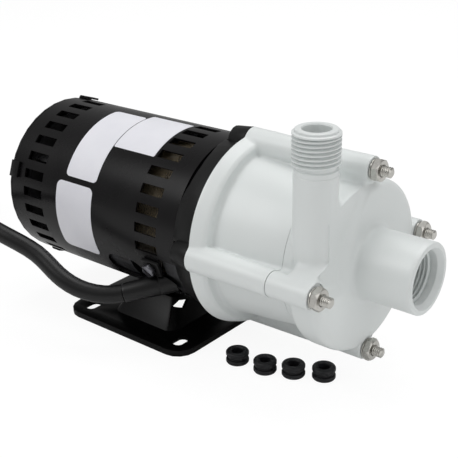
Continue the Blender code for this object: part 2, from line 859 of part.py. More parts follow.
def spiral_radius(angle):
    # Grows from the top, over the far side and the bottom, to the near side
    run = (math.pi / 2 - angle) % (2 * math.pi) / (2 * math.pi)
    if run <= 0.75:
        return spiral_start_radius + spiral_growth * (run / 0.75) ** 1.4
    back = (run - 0.75) / 0.25
    return spiral_start_radius + spiral_growth * (1 + math.cos(math.pi * back)) / 2


def spiral(name, x_rear, x_front, inset, front_round=0.0, rear_round=0.0):
    work = bmesh.new()
    bmesh.ops.create_circle(work, cap_ends=True, segments=48, radius=1.0)
    for vert in work.verts:
        vert.co *= spiral_radius(math.atan2(vert.co.y, vert.co.x)) - inset
    bmesh.ops.translate(work, vec=(0, 0, x_rear), verts=work.verts)
    risen = bmesh.ops.extrude_face_region(work, geom=work.faces[:])["geom"]
    top = [part for part in risen if isinstance(part, bmesh.types.BMVert)]
    bmesh.ops.translate(work, vec=(0, 0, x_front - x_rear), verts=top)
    bmesh.ops.recalc_face_normals(work, faces=work.faces)
    for station, size in ((x_front, front_round), (x_rear, rear_round)):
        if size:
            rim = [edge for edge in work.edges
                   if all(abs(vert.co.z - station) < 0.00001 for vert in edge.verts)]
            bmesh.ops.bevel(
                work, geom=rim, offset=size, segments=2, profile=0.5, affect="EDGES")
    return put(name, mesh_from(name, work), on_axle, along_axle)


volute_cover = turned("volute_cover", [
    (cover_front_x - shoulder_radius, 0.0),
    (cover_front_x - shoulder_radius, rim_radius),
    (cover_rear_x, rim_radius),
    (cover_rear_x, 0.0)], 48, closed=False)
discharge_top_z = axle_height + discharge_height
inlet_boss = turned("inlet_boss", [
    (inlet_end_x, 0.0),
    (inlet_end_x, inlet_radius - 2 * gap),
    (inlet_end_x - 2 * gap, inlet_radius),
    (cover_front_x + inlet_root, inlet_radius),
    (cover_front_x + inlet_root / 3, inlet_radius + inlet_root / 3),
    (cover_front_x - gap, inlet_radius + inlet_root),
    (chamber_front_x + gap, inlet_radius + inlet_root),
    (chamber_front_x + gap, 0.0)], 32, closed=False)
thread_top_z = discharge_top_z - thread_top
thread_base_z = thread_top_z - thread_length
pipe = turned("discharge_pipe", [
    (discharge_top_z, 0.0),
    (discharge_top_z, discharge_radius - 3 * gap),
    (discharge_top_z - 2 * gap, discharge_radius - gap),
    (thread_top_z, discharge_radius - gap),
    (thread_top_z - 2 * gap, thread_radius),
    (thread_base_z, thread_radius),
    (thread_base_z - 2 * gap, discharge_radius),
    (axle_height - 3 * gap, discharge_radius),
    (axle_height - 3 * gap, 0.0)], 28, closed=False,
    location=(discharge_x, discharge_y, 0.0), rotation=(0, 0, 0))
join(
    volute_cover,
    spiral("spiral_casing", spiral_rear_x, cover_front_x, 0.0, shoulder_radius, 5 * gap),
    rods_round("cover_bosses", [
        (cover_rear_x + gap / 3, cover_boss_radius), (boss_face_x + gap, cover_boss_radius)]),
    boxes_round("cover_webs", boss_face_x - cover_rear_x - 2 * gap, boss_web,
                (chamber_radius + rim_radius) / 2, bolt_circle_radius,
                (boss_face_x + cover_rear_x) / 2, bolt_count),
    inlet_boss,
    pipe)
groove_half = o_ring_section + gap
cut(
    volute_cover,
    spiral("volute_channel", spiral_rear_x + cover_wall, chamber_front_x, cover_wall),
    ring("chamber", cover_rear_x - gap, chamber_front_x - gap, 0.0, chamber_radius, 36),
    ring("o_ring_groove", cover_rear_x - gap, o_ring_x + groove_half,
         o_ring_radius - groove_half, o_ring_radius + groove_half, 36),
    rods_round("cover_holes", [
        (cover_rear_x - gap, bolt_hole), (cover_front_x + gap, bolt_hole)], 12),
    rods_round("spot_faces", [
        (boss_face_x, cover_boss_radius + gap),
        (cover_front_x + gap, cover_boss_radius + gap)]),
    turned("inlet_cutter", [
        (inlet_end_x + gap, 0.0),
        (inlet_end_x + gap, inlet_mouth + gap),
        (inlet_end_x - inlet_mouth + inlet_bore, inlet_bore),
        (inlet_end_x - inlet_bore_depth, inlet_bore),
        (inlet_end_x - inlet_bore_depth - gap, eye_radius),
        (chamber_front_x - cover_wall, eye_radius),
        (chamber_front_x - cover_wall, 0.0)], 28, closed=False),
    rod("discharge_cutter", discharge_bore,
        (discharge_x, discharge_y, axle_height + 4 * gap),
        (discharge_x, discharge_y, discharge_top_z + gap), 20))
spider_front_x = cover_front_x - gap
join(
    volute_cover,
    boxes_round("spider_ribs", spider_depth - 2 * gap, spider_thickness, spindle_hole + 2 * gap,
                eye_radius + 2 * gap, spider_front_x - spider_depth / 2, spider_ribs,
                math.pi / 2),
    turned("spider_hub", [
        (spider_front_x, 0.0),
        (spider_front_x, spindle_hole + 4 * gap),
        (spider_front_x - spider_depth, spindle_hole + 4 * gap),
        (spider_front_x - spider_depth, spindle_hole),
        (spider_front_x - 4 * gap, spindle_hole),
        (spider_front_x - 4 * gap, 0.0)], 20, closed=False))
paint(volute_cover, (0.74, 0.79, 0.77), 0.35)
spindle_front_x = spider_front_x - 5 * gap
spindle = turned("spindle", [
    (spindle_front_x, 0.0), (spindle_front_x, spindle_radius),
    (barrel_bottom_x + gap, spindle_radius), (barrel_bottom_x + gap, 0.0)],
    20, closed=False)
paint(spindle, (0.8, 0.8, 0.75), 0.3)

# Impeller on its magnet, with the bushing that runs on the spindle
front_washer_x = spider_front_x - spider_depth - gap
hub_front_x = front_washer_x - thrust_washer - gap
hub_rear_x = socket_x + gap + thrust_washer + gap
bushing_bore = spindle_radius + gap
bushing_radius = bushing_bore + bushing_wall
hub_bore = bushing_radius + gap
hub_radius = hub_bore + hub_wall
plate_rear_x = parting_x + 4 * gap
plate_front_x = plate_rear_x + impeller_plate
vane_front_x = chamber_front_x - impeller_clearance
washer_radius_inner = spindle_radius + gap
front_thrust_washer = ring(
    "front_thrust_washer", front_washer_x - thrust_washer, front_washer_x,
    washer_radius_inner, spindle_hole + spindle_socket_wall, 14)
rear_thrust_washer = ring(
    "rear_thrust_washer", socket_x + gap, socket_x + gap + thrust_washer,
    washer_radius_inner, spindle_hole + spindle_socket_wall, 14)
impeller_bushing = ring(
    "impeller_bushing", hub_rear_x, hub_front_x, bushing_bore, bushing_radius, 14)
impeller = turned("impeller", [
    (hub_front_x, hub_bore + hub_wall / 2),
    (plate_front_x + hub_wall, hub_radius),
    (plate_front_x, hub_radius + hub_wall),
    (plate_front_x, impeller_radius),
    (plate_rear_x, impeller_radius),
    (plate_rear_x, hub_radius),
    (hub_rear_x, hub_radius),
    (hub_rear_x, hub_bore),
    (hub_front_x, hub_bore)], 36)


def vane_outline(index):
    # One curved blade, bent back against the turn
    steps = 6
    outer_side = []
    inner_side = []
    for step in range(steps + 1):
        share = step / steps
        radius = hub_radius + (impeller_radius - gap - hub_radius) * share
        angle = 2 * math.pi * index / impeller_vanes + vane_sweep * share
        half = vane_thickness / 2 / radius
        outer_side.append((radius * math.cos(angle + half), radius * math.sin(angle + half)))
        inner_side.append((radius * math.cos(angle - half), radius * math.sin(angle - half)))
    return outer_side + inner_side[::-1]


join(impeller, flat_curve(
    "vanes", [vane_outline(index) for index in range(impeller_vanes)],
    vane_front_x - plate_rear_x - gap,
    ((vane_front_x + plate_rear_x + gap) / 2, 0, axle_height)))
magnet_bore = hub_radius + gap
magnet_front_x = plate_rear_x - 4 * gap - 4 * gap
driven_magnet = ring(
    "driven_magnet", magnet_front_x - driven_magnet_length, magnet_front_x,
    magnet_bore, driven_magnet_radius, 24)
paint(impeller, (0.55, 0.57, 0.55), 0.45)
paint(impeller_bushing, (0.1, 0.1, 0.1), 0.4)
paint(driven_magnet, (0.12, 0.12, 0.13), 0.5, 0.3)
for washer in (front_thrust_washer, rear_thrust_washer):
    paint(washer, (0.8, 0.8, 0.76), 0.3)

# Drive hub: a cup on the motor shaft around the rear housing's barrel
drive_magnet_bore = barrel_radius + magnet_clearance
drive_magnet_radius = drive_magnet_bore + drive_magnet_thickness
cup_radius = drive_magnet_radius + gap + drive_wall
cup_floor_x = barrel_end_x - magnet_clearance
drive_magnet_x = cup_floor_x + gap
cup_front_x = drive_magnet_x + drive_magnet_length
drive_hub = turned("drive_hub", [
    (cup_front_x, cup_radius),
    (cup_floor_x - drive_floor, cup_radius),
    (cup_floor_x - drive_floor, drive_hub_radius),
    (drive_hub_x, drive_hub_radius),
    (drive_hub_x, on_shaft),
    (cup_floor_x, on_shaft),
    (cup_floor_x, drive_magnet_radius + gap),
    (cup_front_x, drive_magnet_radius + gap)], 28)
drive_magnet = ring(
    "drive_magnet", drive_magnet_x, drive_magnet_x + drive_magnet_length - gap,
    drive_magnet_bore, drive_magnet_radius, 28)
set_screw_x = drive_hub_x + (cup_floor_x - drive_floor - drive_hub_x) / 2
set_screw = rod(
    "set_screw", set_screw_radius,
    (set_screw_x, 0, axle_height + shaft_radius + gap),
    (set_screw_x, 0, axle_height + drive_hub_radius - gap), 12)
cut(drive_hub, rod(
    "set_screw_hole", set_screw_radius + gap,
    (set_screw_x, 0, axle_height + shaft_radius - gap),
    (set_screw_x, 0, axle_height + drive_hub_radius + 4 * gap), 16))
paint(drive_hub, (0.45, 0.45, 0.45), 0.4, 0.9)
paint(drive_magnet, (0.1, 0.1, 0.11), 0.5, 0.4)
paint(set_screw, (0.1, 0.1, 0.1), 0.4, 0.8)

# Long bolts with washers and nuts at the pump end
bolt_head_x = adapter_rear_x + 2 * gap
bolt_tip_x = nut_x + nut_height + bolt_stub
for index in range(bolt_count):
    angle = 2 * math.pi * index / bolt_count
    place = on_circle(bolt_circle_radius, angle, 0.0)
    number = "_%d" % (index + 1)
    bolt = turned("bolt" + number, [
        (bolt_tip_x, 0.0),
        (bolt_tip_x, bolt_radius - 2 * gap),
        (bolt_tip_x - 2 * gap, bolt_radius),
        (bolt_head_x + bolt_head_height, bolt_radius),
        (bolt_head_x + bolt_head_height, bolt_head_radius),
        (bolt_head_x + 2 * gap, bolt_head_radius),
        (bolt_head_x, bolt_head_radius - 2 * gap),
        (bolt_head_x, 0.0)], 12, closed=False, location=place)
    washer = ring(
        "washer" + number, washer_x, washer_x + washer_thickness, bolt_hole,
        washer_radius, 14)
    washer.location = place
    nut = ring(
        "nut" + number, nut_x, nut_x + nut_height, bolt_hole / math.cos(math.pi / 6),
        nut_across_flats / math.sqrt(3), 6)
    nut.location = place
    for piece in (bolt, washer, nut):
        paint(piece, (0.6, 0.58, 0.54), 0.3, 1.0)

# Base plate: one pressing with a rim turned down and a hollow pedestal


def make_base():
    work = bmesh.new()
    bmesh.ops.create_grid(work, x_segments=1, y_segments=1, size=0.5)
    bmesh.ops.scale(work, vec=(base_length, base_width, 1), verts=work.verts)
    bmesh.ops.translate(work, vec=(0, 0, base_height), verts=work.verts)
    bmesh.ops.bevel(
        work, geom=work.verts[:], offset=base_corner, segments=4, profile=0.5,
        affect="VERTICES")
    work.faces.ensure_lookup_table()
    top = work.faces[0]
    bmesh.ops.inset_region(work, faces=[top], thickness=gap, use_boundary=True)
    shift = pedestal_centre_x - base_centre_x
    for vert in top.verts:
        vert.co.x = vert.co.x * pedestal_foot_x / (base_length - 2 * gap) + shift
        vert.co.y *= pedestal_foot_y / (base_width - 2 * gap)
    raised = bmesh.ops.extrude_face_region(work, geom=[top])["geom"]
    crown = [part for part in raised if isinstance(part, bmesh.types.BMVert)]
    for vert in crown:
        vert.co.x = (vert.co.x - shift) * pedestal_top_x / pedestal_foot_x + shift
        vert.co.y *= pedestal_top_y / pedestal_foot_y
        vert.co.z = pedestal_top_z
    if top.is_valid:
        bmesh.ops.delete(work, geom=[top], context="FACES_ONLY")
    rim = [edge for edge in work.edges if edge.is_boundary]
    lowered = bmesh.ops.extrude_edge_only(work, edges=rim)["geom"]
    foot = [part for part in lowered if isinstance(part, bmesh.types.BMVert)]
    bmesh.ops.translate(work, vec=(0, 0, -base_height), verts=foot)
    bmesh.ops.recalc_face_normals(work, faces=work.faces)
    if max(work.faces, key=lambda face: face.calc_center_median().z).normal.z < 0:
        bmesh.ops.reverse_faces(work, faces=work.faces)
    made = put("base_plate", mesh_from("base_plate", work), (base_centre_x, 0, 0))
    sheet = made.modifiers.new("sheet", "SOLIDIFY")
    sheet.thickness = base_sheet
    sheet.offset = -1.0
    sheet.use_even_offset = True
    return made


base_plate = make_base()
base_slot_z = base_height - base_sheet / 2
for index, (side_x, side_y) in enumerate(((1, 1), (1, -1), (-1, 1), (-1, -1))):
    spot = (
        base_centre_x + side_x * (base_length / 2 - base_slot_edge_x) + base_slot_offset,
        side_y * (base_width / 2 - base_slot_edge_y), base_slot_z)
    cut(base_plate, obround(
        "base_slot_%d" % (index + 1), base_slot_length, base_slot_width, 4 * base_sheet,
        spot, (0, 0, 0), 12))

# Two screws hold the can down on the pedestal
base_screw_x = pedestal_centre_x + pedestal_top_x / 2 - base_screw_setback
head_top_z = pedestal_top_z - base_sheet - gap
for index, side in enumerate((1, -1)):
    name = "base_screw_%d" % (index + 1)
    place_y = side * base_screw_spread / 2
    shank_top = axle_height - math.sqrt(can_bore ** 2 - place_y ** 2) + 3 * can_wall
    screw = turned(name, [
        (shank_top, 0.0),
        (shank_top, base_screw_radius),
        (head_top_z, base_screw_radius),
        (head_top_z, base_screw_head),
        (head_top_z - base_screw_radius, base_screw_head),
        (head_top_z - base_screw_radius, 0.0)], 16, closed=False,
        location=(base_screw_x, place_y, 0.0), rotation=(0, 0, 0))
    paint(screw, (0.5, 0.5, 0.5), 0.35, 1.0)
    low = (base_screw_x, place_y, head_top_z - gap)
    high = (base_screw_x, place_y, shank_top + can_wall)
    cut(base_plate, rod(name + "_hole", base_screw_radius + gap, low, high, 16))
    cut(motor_can, rod(name + "_can_hole", base_screw_radius + gap, low, high, 16))

# A lanced window near the corner of the pedestal's front wall, in the wall's own
# places across and above the axle
window = [(-16.2, -44.7), (-20.7, -46.8), (-14.8, -49.3), (-10.1, -46.3)]
wall_x = pedestal_centre_x + (pedestal_foot_x + pedestal_top_x) / 4
cut(base_plate, outline_prism(
    "pedestal_window", [(across * mm, up * mm) for across, up in window],
    4 * base_sheet, (wall_x - base_sheet / 2, 0, axle_height)))
paint(base_plate, (0.02, 0.02, 0.022), 0.35)

# Power cord: a tube that leaves the boot, arches over to its coil and lies on it
exit_point = on_circle(can_radius + 2 * gap, exit_angle, exit_x)
exit_way = Vector((-0.718, -0.663, -0.212)).normalized()
boot_end = exit_point + exit_way * relief_boot_length
coil_outer = coil_turn_radius + coil_columns * cord_radius
coil_inner = coil_turn_radius - coil_columns * cord_radius
coil_top_z = gap + coil_layers * 2 * cord_radius
on_coil_z = coil_top_z + gap + cord_radius
route = [boot_end + exit_way * gap]
route += [Vector(place) * mm for place in (
    (-27.2, -54.7, 30.7), (-38.3, -61.7, 31.4), (-53.2, -65.5, 38.2),
    (-66.9, -63.5, 46.3), (-86.6, -71.7, 54.2), (-103.0, -72.4, 58.8),
    (-120.9, -76.4, 56.1), (-136.2, -76.9, 49.3), (-150.1, -76.5, 41.0),
    (-163.0, -77.2, 34.9), (-177.5, -78.4, 31.9))]
route += [Vector((x * mm, y * mm, on_coil_z)) for x, y in (
    (-191.5, -80.8), (-205.5, -83.1), (-219.5, -85.4), (-235.8, -88.4),
    (-248.4, -87.8), (-260.5, -84.0), (-264.3, -82.1))]
power_cord = tube("power_cord", route, cord_radius)
cord_coil = turned("cord_coil", [
    (coil_top_z, coil_outer - cord_radius),
    (coil_top_z - cord_radius, coil_outer),
    (gap + cord_radius, coil_outer),
    (gap, coil_outer - cord_radius),
    (gap, coil_inner + cord_radius),
    (gap + cord_radius, coil_inner),
    (coil_top_z - cord_radius, coil_inner),
    (coil_top_z, coil_inner + cord_radius)], 32,
    location=coil_centre, rotation=(0, 0, 0))

# Strain relief: a collar seated on the can and a boot that narrows to the cord
strain_relief = turned("strain_relief", [
    (relief_boot_length, 0.0),
    (relief_boot_length, cord_radius + gap),
    (relief_collar_length + 3 * gap, cord_radius + 2 * gap),
    (relief_collar_length, relief_collar_radius),
    (-relief_collar_radius, relief_collar_radius),
    (-relief_collar_radius, 0.0)], 20, closed=False,
    location=exit_point, rotation=exit_way.to_track_quat("Z", "Y").to_euler())
cut(strain_relief, rod(
    "can_clearance", can_radius + gap, (can_rear_x, 0, axle_height),
    (can_front_x + can_radius, 0, axle_height), 112))
cut(motor_can, rod(
    "cord_hole", cord_radius + 2 * gap, exit_point - exit_way * 3 * cord_radius,
    exit_point + exit_way * cord_radius, 20))

# Plug on the coil, with three contacts
plug_x = coil_centre.x
plug_y = coil_centre.y + coil_turn_radius
plug_z = coil_top_z + gap + plug_height / 2
cord_plug = box("cord_plug", (plug_length, plug_width, plug_height), (plug_x, plug_y, plug_z))
soften = cord_plug.modifiers.new("soften", "BEVEL")
soften.width = plug_height / 5
soften.segments = 2
contact_x = plug_x + plug_length / 2
for index, side in enumerate((1, -1)):
    join(cord_plug, box(
        "contact_%d" % (index + 1), (2 * contact_length, contact_thickness, contact_width),
        (contact_x, plug_y + side * contact_pitch / 2, plug_z - contact_width / 3)))
join(cord_plug, rod(
    "contact_3", contact_width / 3, (contact_x - contact_length, plug_y, plug_z + contact_width),
    (contact_x + contact_length, plug_y, plug_z + contact_width), 12))
for piece in (power_cord, cord_coil, strain_relief, cord_plug):
    paint(piece, (0.02, 0.02, 0.02), 0.55)

# Cord clamp with its slotted hex screw, low on the near side of the can
clamp_out = Vector((0, math.cos(clamp_angle), math.sin(clamp_angle)))
clamp_turn = clamp_out.to_track_quat("Z", "X").to_euler()
clamp_level = can_radius + gap + clamp_thickness / 2
clamp_spot = on_circle(clamp_level, clamp_angle, clamp_x)
cord_clamp = box(
    "cord_clamp", (clamp_thickness, clamp_width, clamp_length), clamp_spot)
cord_clamp.rotation_euler = (
    Matrix.Rotation(clamp_angle, 3, "X") @ along_matrix).to_euler()
shank_start = clamp_spot - clamp_out * (clamp_thickness + can_wall)
clamp_screw = turned("clamp_screw", [
    (clamp_thickness / 2 + gap + clamp_screw_height, 0.0),
    (clamp_thickness / 2 + gap + clamp_screw_height, clamp_screw_flats / math.sqrt(3)),
    (clamp_thickness / 2 + gap, clamp_screw_flats / math.sqrt(3)),
    (clamp_thickness / 2 + gap, clamp_screw_radius),
    (-clamp_thickness - can_wall, clamp_screw_radius),
    (-clamp_thickness - can_wall, 0.0)], 12, closed=False,
    location=clamp_spot, rotation=clamp_turn)
hole_end = clamp_spot + clamp_out * clamp_thickness
cut(cord_clamp, rod(
    "clamp_hole", clamp_screw_radius + gap, shank_start - clamp_out * gap, hole_end, 12))
cut(motor_can, rod(
    "clamp_can_hole", clamp_screw_radius + gap, shank_start - clamp_out * can_wall,
    hole_end, 12))
paint(cord_clamp, (0.03, 0.03, 0.03), 0.4)
paint(clamp_screw, (0.5, 0.48, 0.42), 0.35, 1.0)

# Four loose rubber grommets for the base slots
groove_low = (grommet_height - grommet_groove) / 2
groove_high = (grommet_height + grommet_groove) / 2
for index, (spot_x, spot_y) in enumerate(grommet_spots):
    grommet = turned("grommet_%d" % (index + 1), [
        (grommet_height, grommet_radius - 3 * gap),
        (grommet_height - 2 * gap, grommet_radius),
        (groove_high, grommet_radius),
        (groove_high, grommet_radius - grommet_groove),
        (groove_low, grommet_radius - grommet_groove),
        (groove_low, grommet_radius),
        (2 * gap, grommet_radius),
        (0.0, grommet_radius - 3 * gap),
        (0.0, grommet_bore),
        (grommet_height, grommet_bore)], 12,
        location=(spot_x * mm, spot_y * mm, 0.0), rotation=(0, 0, 0))
    paint(grommet, (0.03, 0.03, 0.03), 0.8)
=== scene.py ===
# Magnetic drive pump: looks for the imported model.
# Plans are in millimetres and degrees. The axle runs along X and the discharge points up.
import math

import bmesh
import bpy
from mathutils import Matrix, Vector


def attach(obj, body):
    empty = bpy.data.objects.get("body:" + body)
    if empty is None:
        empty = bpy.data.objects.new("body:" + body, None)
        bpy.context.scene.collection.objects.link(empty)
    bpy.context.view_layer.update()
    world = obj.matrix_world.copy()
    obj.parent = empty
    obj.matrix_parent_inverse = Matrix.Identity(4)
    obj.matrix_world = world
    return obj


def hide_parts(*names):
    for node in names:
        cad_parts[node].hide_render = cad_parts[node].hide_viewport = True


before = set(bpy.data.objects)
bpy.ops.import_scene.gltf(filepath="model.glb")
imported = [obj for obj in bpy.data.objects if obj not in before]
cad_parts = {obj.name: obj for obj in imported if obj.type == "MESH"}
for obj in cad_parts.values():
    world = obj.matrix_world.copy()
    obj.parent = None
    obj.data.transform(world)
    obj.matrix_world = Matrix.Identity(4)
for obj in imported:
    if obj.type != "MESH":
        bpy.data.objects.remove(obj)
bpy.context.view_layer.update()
scene = bpy.context.scene
mm = 0.001
axleHeight = 60
boltCircle, boltHole, webWidth = 43.64, 2.7, 9.0
axle = Vector((0, 0, axleHeight * mm))
alongX, alongZ = Vector((1, 0, 0)), Vector((0, 0, 1))
print("frame loaded")


# Shapes

def move(work, matrix):
    bmesh.ops.transform(work, verts=work.verts, matrix=matrix.to_4x4())


def only(parts, kind):
    return [part for part in parts if isinstance(part, kind)]


def spin(profile, steps=96, centre=axle, axis=alongX, sweep=1.0, climb=0.0):
    # Turns a profile of (station, radius) pairs round an axis.
    # It is a closed loop, unless it starts and ends on the axis.
    work = bmesh.new()
    side = axis.orthogonal().normalized()
    dots = [work.verts.new(centre + axis * along * mm + side * radius * mm)
            for along, radius in profile]
    lines = [work.edges.new(pair) for pair in zip(dots, dots[1:])]
    if profile[0][1] > 0:
        lines.append(work.edges.new((dots[-1], dots[0])))
    bmesh.ops.spin(
        work, geom=dots + lines, cent=centre, axis=axis, dvec=axis * climb * mm / steps,
        angle=2 * math.pi * sweep, steps=round(steps * sweep), use_merge=sweep == 1.0,
        use_duplicate=False)
    if sweep == 1.0:
        bmesh.ops.remove_doubles(work, verts=work.verts, dist=1e-6)
    bmesh.ops.recalc_face_normals(work, faces=work.faces)
    return work


def rod(radius, start, end, segments=48, endRadius=None):
    # A closed cylinder or cone between two points
    work = bmesh.new()
    run = Vector(end) - Vector(start)
    bmesh.ops.create_cone(
        work, cap_ends=True, segments=segments, radius1=radius,
        radius2=endRadius or radius, depth=run.length)
    move(work, Matrix.Translation((Vector(start) + Vector(end)) / 2)
         @ run.to_track_quat("Z", "Y").to_matrix().to_4x4())
    return work


def block(size, centre, turn=None):
    work = bmesh.new()
    bmesh.ops.create_cube(work, size=1.0)
    bmesh.ops.scale(work, vec=size, verts=work.verts)
    if turn is not None:
        move(work, turn)
    bmesh.ops.translate(work, vec=centre, verts=work.verts)
    return work


def turned(degrees, axis="X"):
    return Matrix.Rotation(math.radians(degrees), 3, axis)


def stood(place, way):
    # Brings local Z to a place on the object, looking along a direction
    return Matrix.Translation(place) @ way.to_track_quat("Z", "X").to_matrix().to_4x4()


def hexagon(flats, height):
    # A hexagonal prism about the origin
    work = bmesh.new()
    corner = flats / math.sqrt(3) * mm
    bmesh.ops.create_cone(
        work, cap_ends=True, segments=6, radius1=corner, radius2=corner, depth=height * mm)
    return work


def pick(plan, *keys):
    return [plan[key] for key in keys]


def meshOf(name, work):
    mesh = bpy.data.meshes.new(name)
    work.to_mesh(mesh)
    work.free()
    return mesh


def shapeOf(mesh):
    work = bmesh.new()
    work.from_mesh(mesh)
    return work


def together(*works):
    # Several shapes in one mesh
    whole = bmesh.new()
    for work in works:
        mesh = meshOf("part", work)
        whole.from_mesh(mesh)
        bpy.data.meshes.remove(mesh)
    return whole


def roundEdges(work, width, segments=3, sharp=30):
    edges = [edge for edge in work.edges
             if len(edge.link_faces) == 2 and edge.calc_face_angle() > math.radians(sharp)]
    bmesh.ops.bevel(
        work, geom=edges, offset=width * mm, segments=segments, profile=0.5,
        affect="EDGES", material=-1, clamp_overlap=True)
    return work


def solid(name, work):
    made = bpy.data.objects.new(name, meshOf(name, work))
    scene.collection.objects.link(made)
    return made


def settle(made):
    # Applies the modifiers that are on an object
    graph = bpy.context.evaluated_depsgraph_get()
    graph.update()
    mesh = bpy.data.meshes.new_from_object(made.evaluated_get(graph))
    made.modifiers.clear()
    made.data = mesh
    return made


def carve(made, *works):
    # Takes shapes out of an object
    tools = [solid("tool", work) for work in works]
    for tool in tools:
        step = made.modifiers.new("carve", "BOOLEAN")
        step.operation = "DIFFERENCE"
        step.solver = "EXACT"
        step.object = tool
    settle(made)
    for tool in tools:
        bpy.data.objects.remove(tool, do_unlink=True)


def mould(name, work, voxel, passes):
    # Runs overlapping shapes into one moulding with soft inner corners
    made = solid(name, work)
    remesh = made.modifiers.new("melt", "REMESH")
    remesh.mode = "VOXEL"
    remesh.voxel_size = voxel * mm
    relax = made.modifiers.new("relax", "SMOOTH")
    relax.factor = 0.5
    relax.iterations = passes
    return settle(made)


def cutFlat(work, place, way, **sides):
    bmesh.ops.bisect_plane(
        work, geom=work.verts[:] + work.edges[:] + work.faces[:], dist=1e-7, plane_co=place,
        plane_no=way, **sides)


def trim(made, x, keepFront):
    # Cuts an object flat across the axle and closes it
    work = shapeOf(made.data)
    cutFlat(work, (x * mm, 0, 0), alongX, clear_inner=keepFront, clear_outer=not keepFront)
    rim = [edge for edge in work.edges if edge.is_boundary]
    bmesh.ops.edgenet_fill(work, edges=rim)
    bmesh.ops.recalc_face_normals(work, faces=work.faces)
    work.to_mesh(made.data)
    work.free()


def softEdges(made, width, segments, sharp):
    # Breaks every edge that is sharper than the angle
    soft = made.modifiers.new("soft", "BEVEL")
    soft.width = width * mm
    soft.segments = segments
    soft.limit_method = "ANGLE"
    soft.angle_limit = math.radians(sharp)
    settle(made)


def raiseFaces(work, height):
    # Gives a flat outline its height
    risen = bmesh.ops.extrude_face_region(work, geom=work.faces[:])["geom"]
    top = only(risen, bmesh.types.BMVert)
    bmesh.ops.translate(work, vec=(0, 0, height * mm), verts=top)
    bmesh.ops.recalc_face_normals(work, faces=work.faces)


def layAlong(work, station):
    # Local Z goes along the axle, X to the far side and Y up
    move(work, Matrix((
        (0, 0, 1, station * mm), (1, 0, 0, 0), (0, 1, 0, axleHeight * mm), (0, 0, 0, 1))))


def copyOf(node):
    # A merged copy of a CAD node's triangles
    work = shapeOf(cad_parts[node].data)
    bmesh.ops.remove_doubles(work, verts=work.verts, dist=2e-6)
    bmesh.ops.dissolve_limit(
        work, angle_limit=math.radians(1.0), verts=work.verts, edges=work.edges)
    return work


def piece(made, slot, nodes=(), sharp=32, body="pump", finish=None):
    # Finishes an object, or a name with its shape, and hands it to the frame
    if isinstance(made, tuple):
        made = solid(*made)
    mesh = made.data
    mesh.materials.clear()
    mesh.materials.append(finishes[finish or slot])
    mesh.polygons.foreach_set("use_smooth", [True] * len(mesh.polygons))
    mesh.set_sharp_from_angle(angle=math.radians(sharp))
    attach(made, body)
    if nodes:
        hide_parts(*nodes)
    return made


def onCircle(x, radius, degrees):
    turn = math.radians(degrees)
    return Vector((x, radius * math.cos(turn), axleHeight + radius * math.sin(turn))) * mm


def glide(share):
    return share * share * (3 - 2 * share)


def fade(value):
    # Eases in from 0 and stays at 1
    return glide(min(1, max(0, value)))


# Finishes

class Wire:
    # One output of a material's nodes, used in sums
    def __init__(self, finish, socket):
        self.finish = finish
        self.socket = socket

    def math(self, operation, first, second):
        return self.finish.add(
            "ShaderNodeMath", {"operation": operation}, {0: first, 1: second})

    def __add__(self, other):
        return self.math("ADD", self, other)

    def __mul__(self, other):
        return self.math("MULTIPLY", self, other)

    __radd__ = __add__
    __rmul__ = __mul__


class Finish:
    # A material whose nodes all come from add()
    def __init__(self, name, **constants):
        self.material = bpy.data.materials.new(name)
        self.material.use_nodes = True
        self.tree = self.material.node_tree
        self.shader = self.tree.nodes["Principled BSDF"]
        for socket, value in constants.items():
            self.shader.inputs[socket.replace("_", " ")].default_value = value
        self.place = self.add("ShaderNodeTexCoord", {}, {}, "Object")

    def feed(self, socket, value):
        if isinstance(value, Wire):
            self.tree.links.new(value.socket, socket)
        else:
            socket.default_value = value

    def add(self, kind, settings, inputs, output=0):
        node = self.tree.nodes.new(kind)
        for key, value in settings.items():
            setattr(node, key, value)
        for key, value in inputs.items():
            self.feed(node.inputs[key], value)
        return Wire(self, node.outputs[output])

    def noise(self, scale, detail=2.0, place=None):
        return self.add("ShaderNodeTexNoise", {}, {
            "Vector": place or self.place, "Scale": scale, "Detail": detail})

    def bands(self, scale, distortion, detail, detailScale=1.0):
        return self.add("ShaderNodeTexWave", {"wave_type": "BANDS", "bands_direction": "X"}, {
            "Vector": self.place, "Scale": scale, "Distortion": distortion, "Detail": detail,
            "Detail Scale": detailScale})

    def stretched(self, scale):
        return self.add("ShaderNodeMapping", {}, {"Vector": self.place, "Scale": scale})

    def between(self, share, low, high):
        return self.add("ShaderNodeMapRange", {}, {
            "Value": share, "From Min": low, "From Max": high})

    def blend(self, share, *colours):
        one, other = [part if isinstance(part, Wire) else tone(*part) for part in colours]
        return self.add("ShaderNodeMix", {"data_type": "RGBA"}, {
            "Factor": share, 6: one, 7: other}, 2)

    def bump(self, height, strength, depth):
        return self.add("ShaderNodeBump", {}, {
            "Height": height, "Strength": strength, "Distance": depth * mm})

    def wear(self, colour, roughness, normal):
        for socket, value in (
                ("Base Color", colour), ("Roughness", roughness), ("Normal", normal)):
            self.feed(self.shader.inputs[socket], value)
        return self.material


def tone(red, green, blue):
    # A colour read as 0 to 255 on a screen
    return (*[((part / 255 + 0.055) / 1.055) ** 2.4 if part > 10 else part / 255 / 12.92
              for part in (red, green, blue)], 1.0)


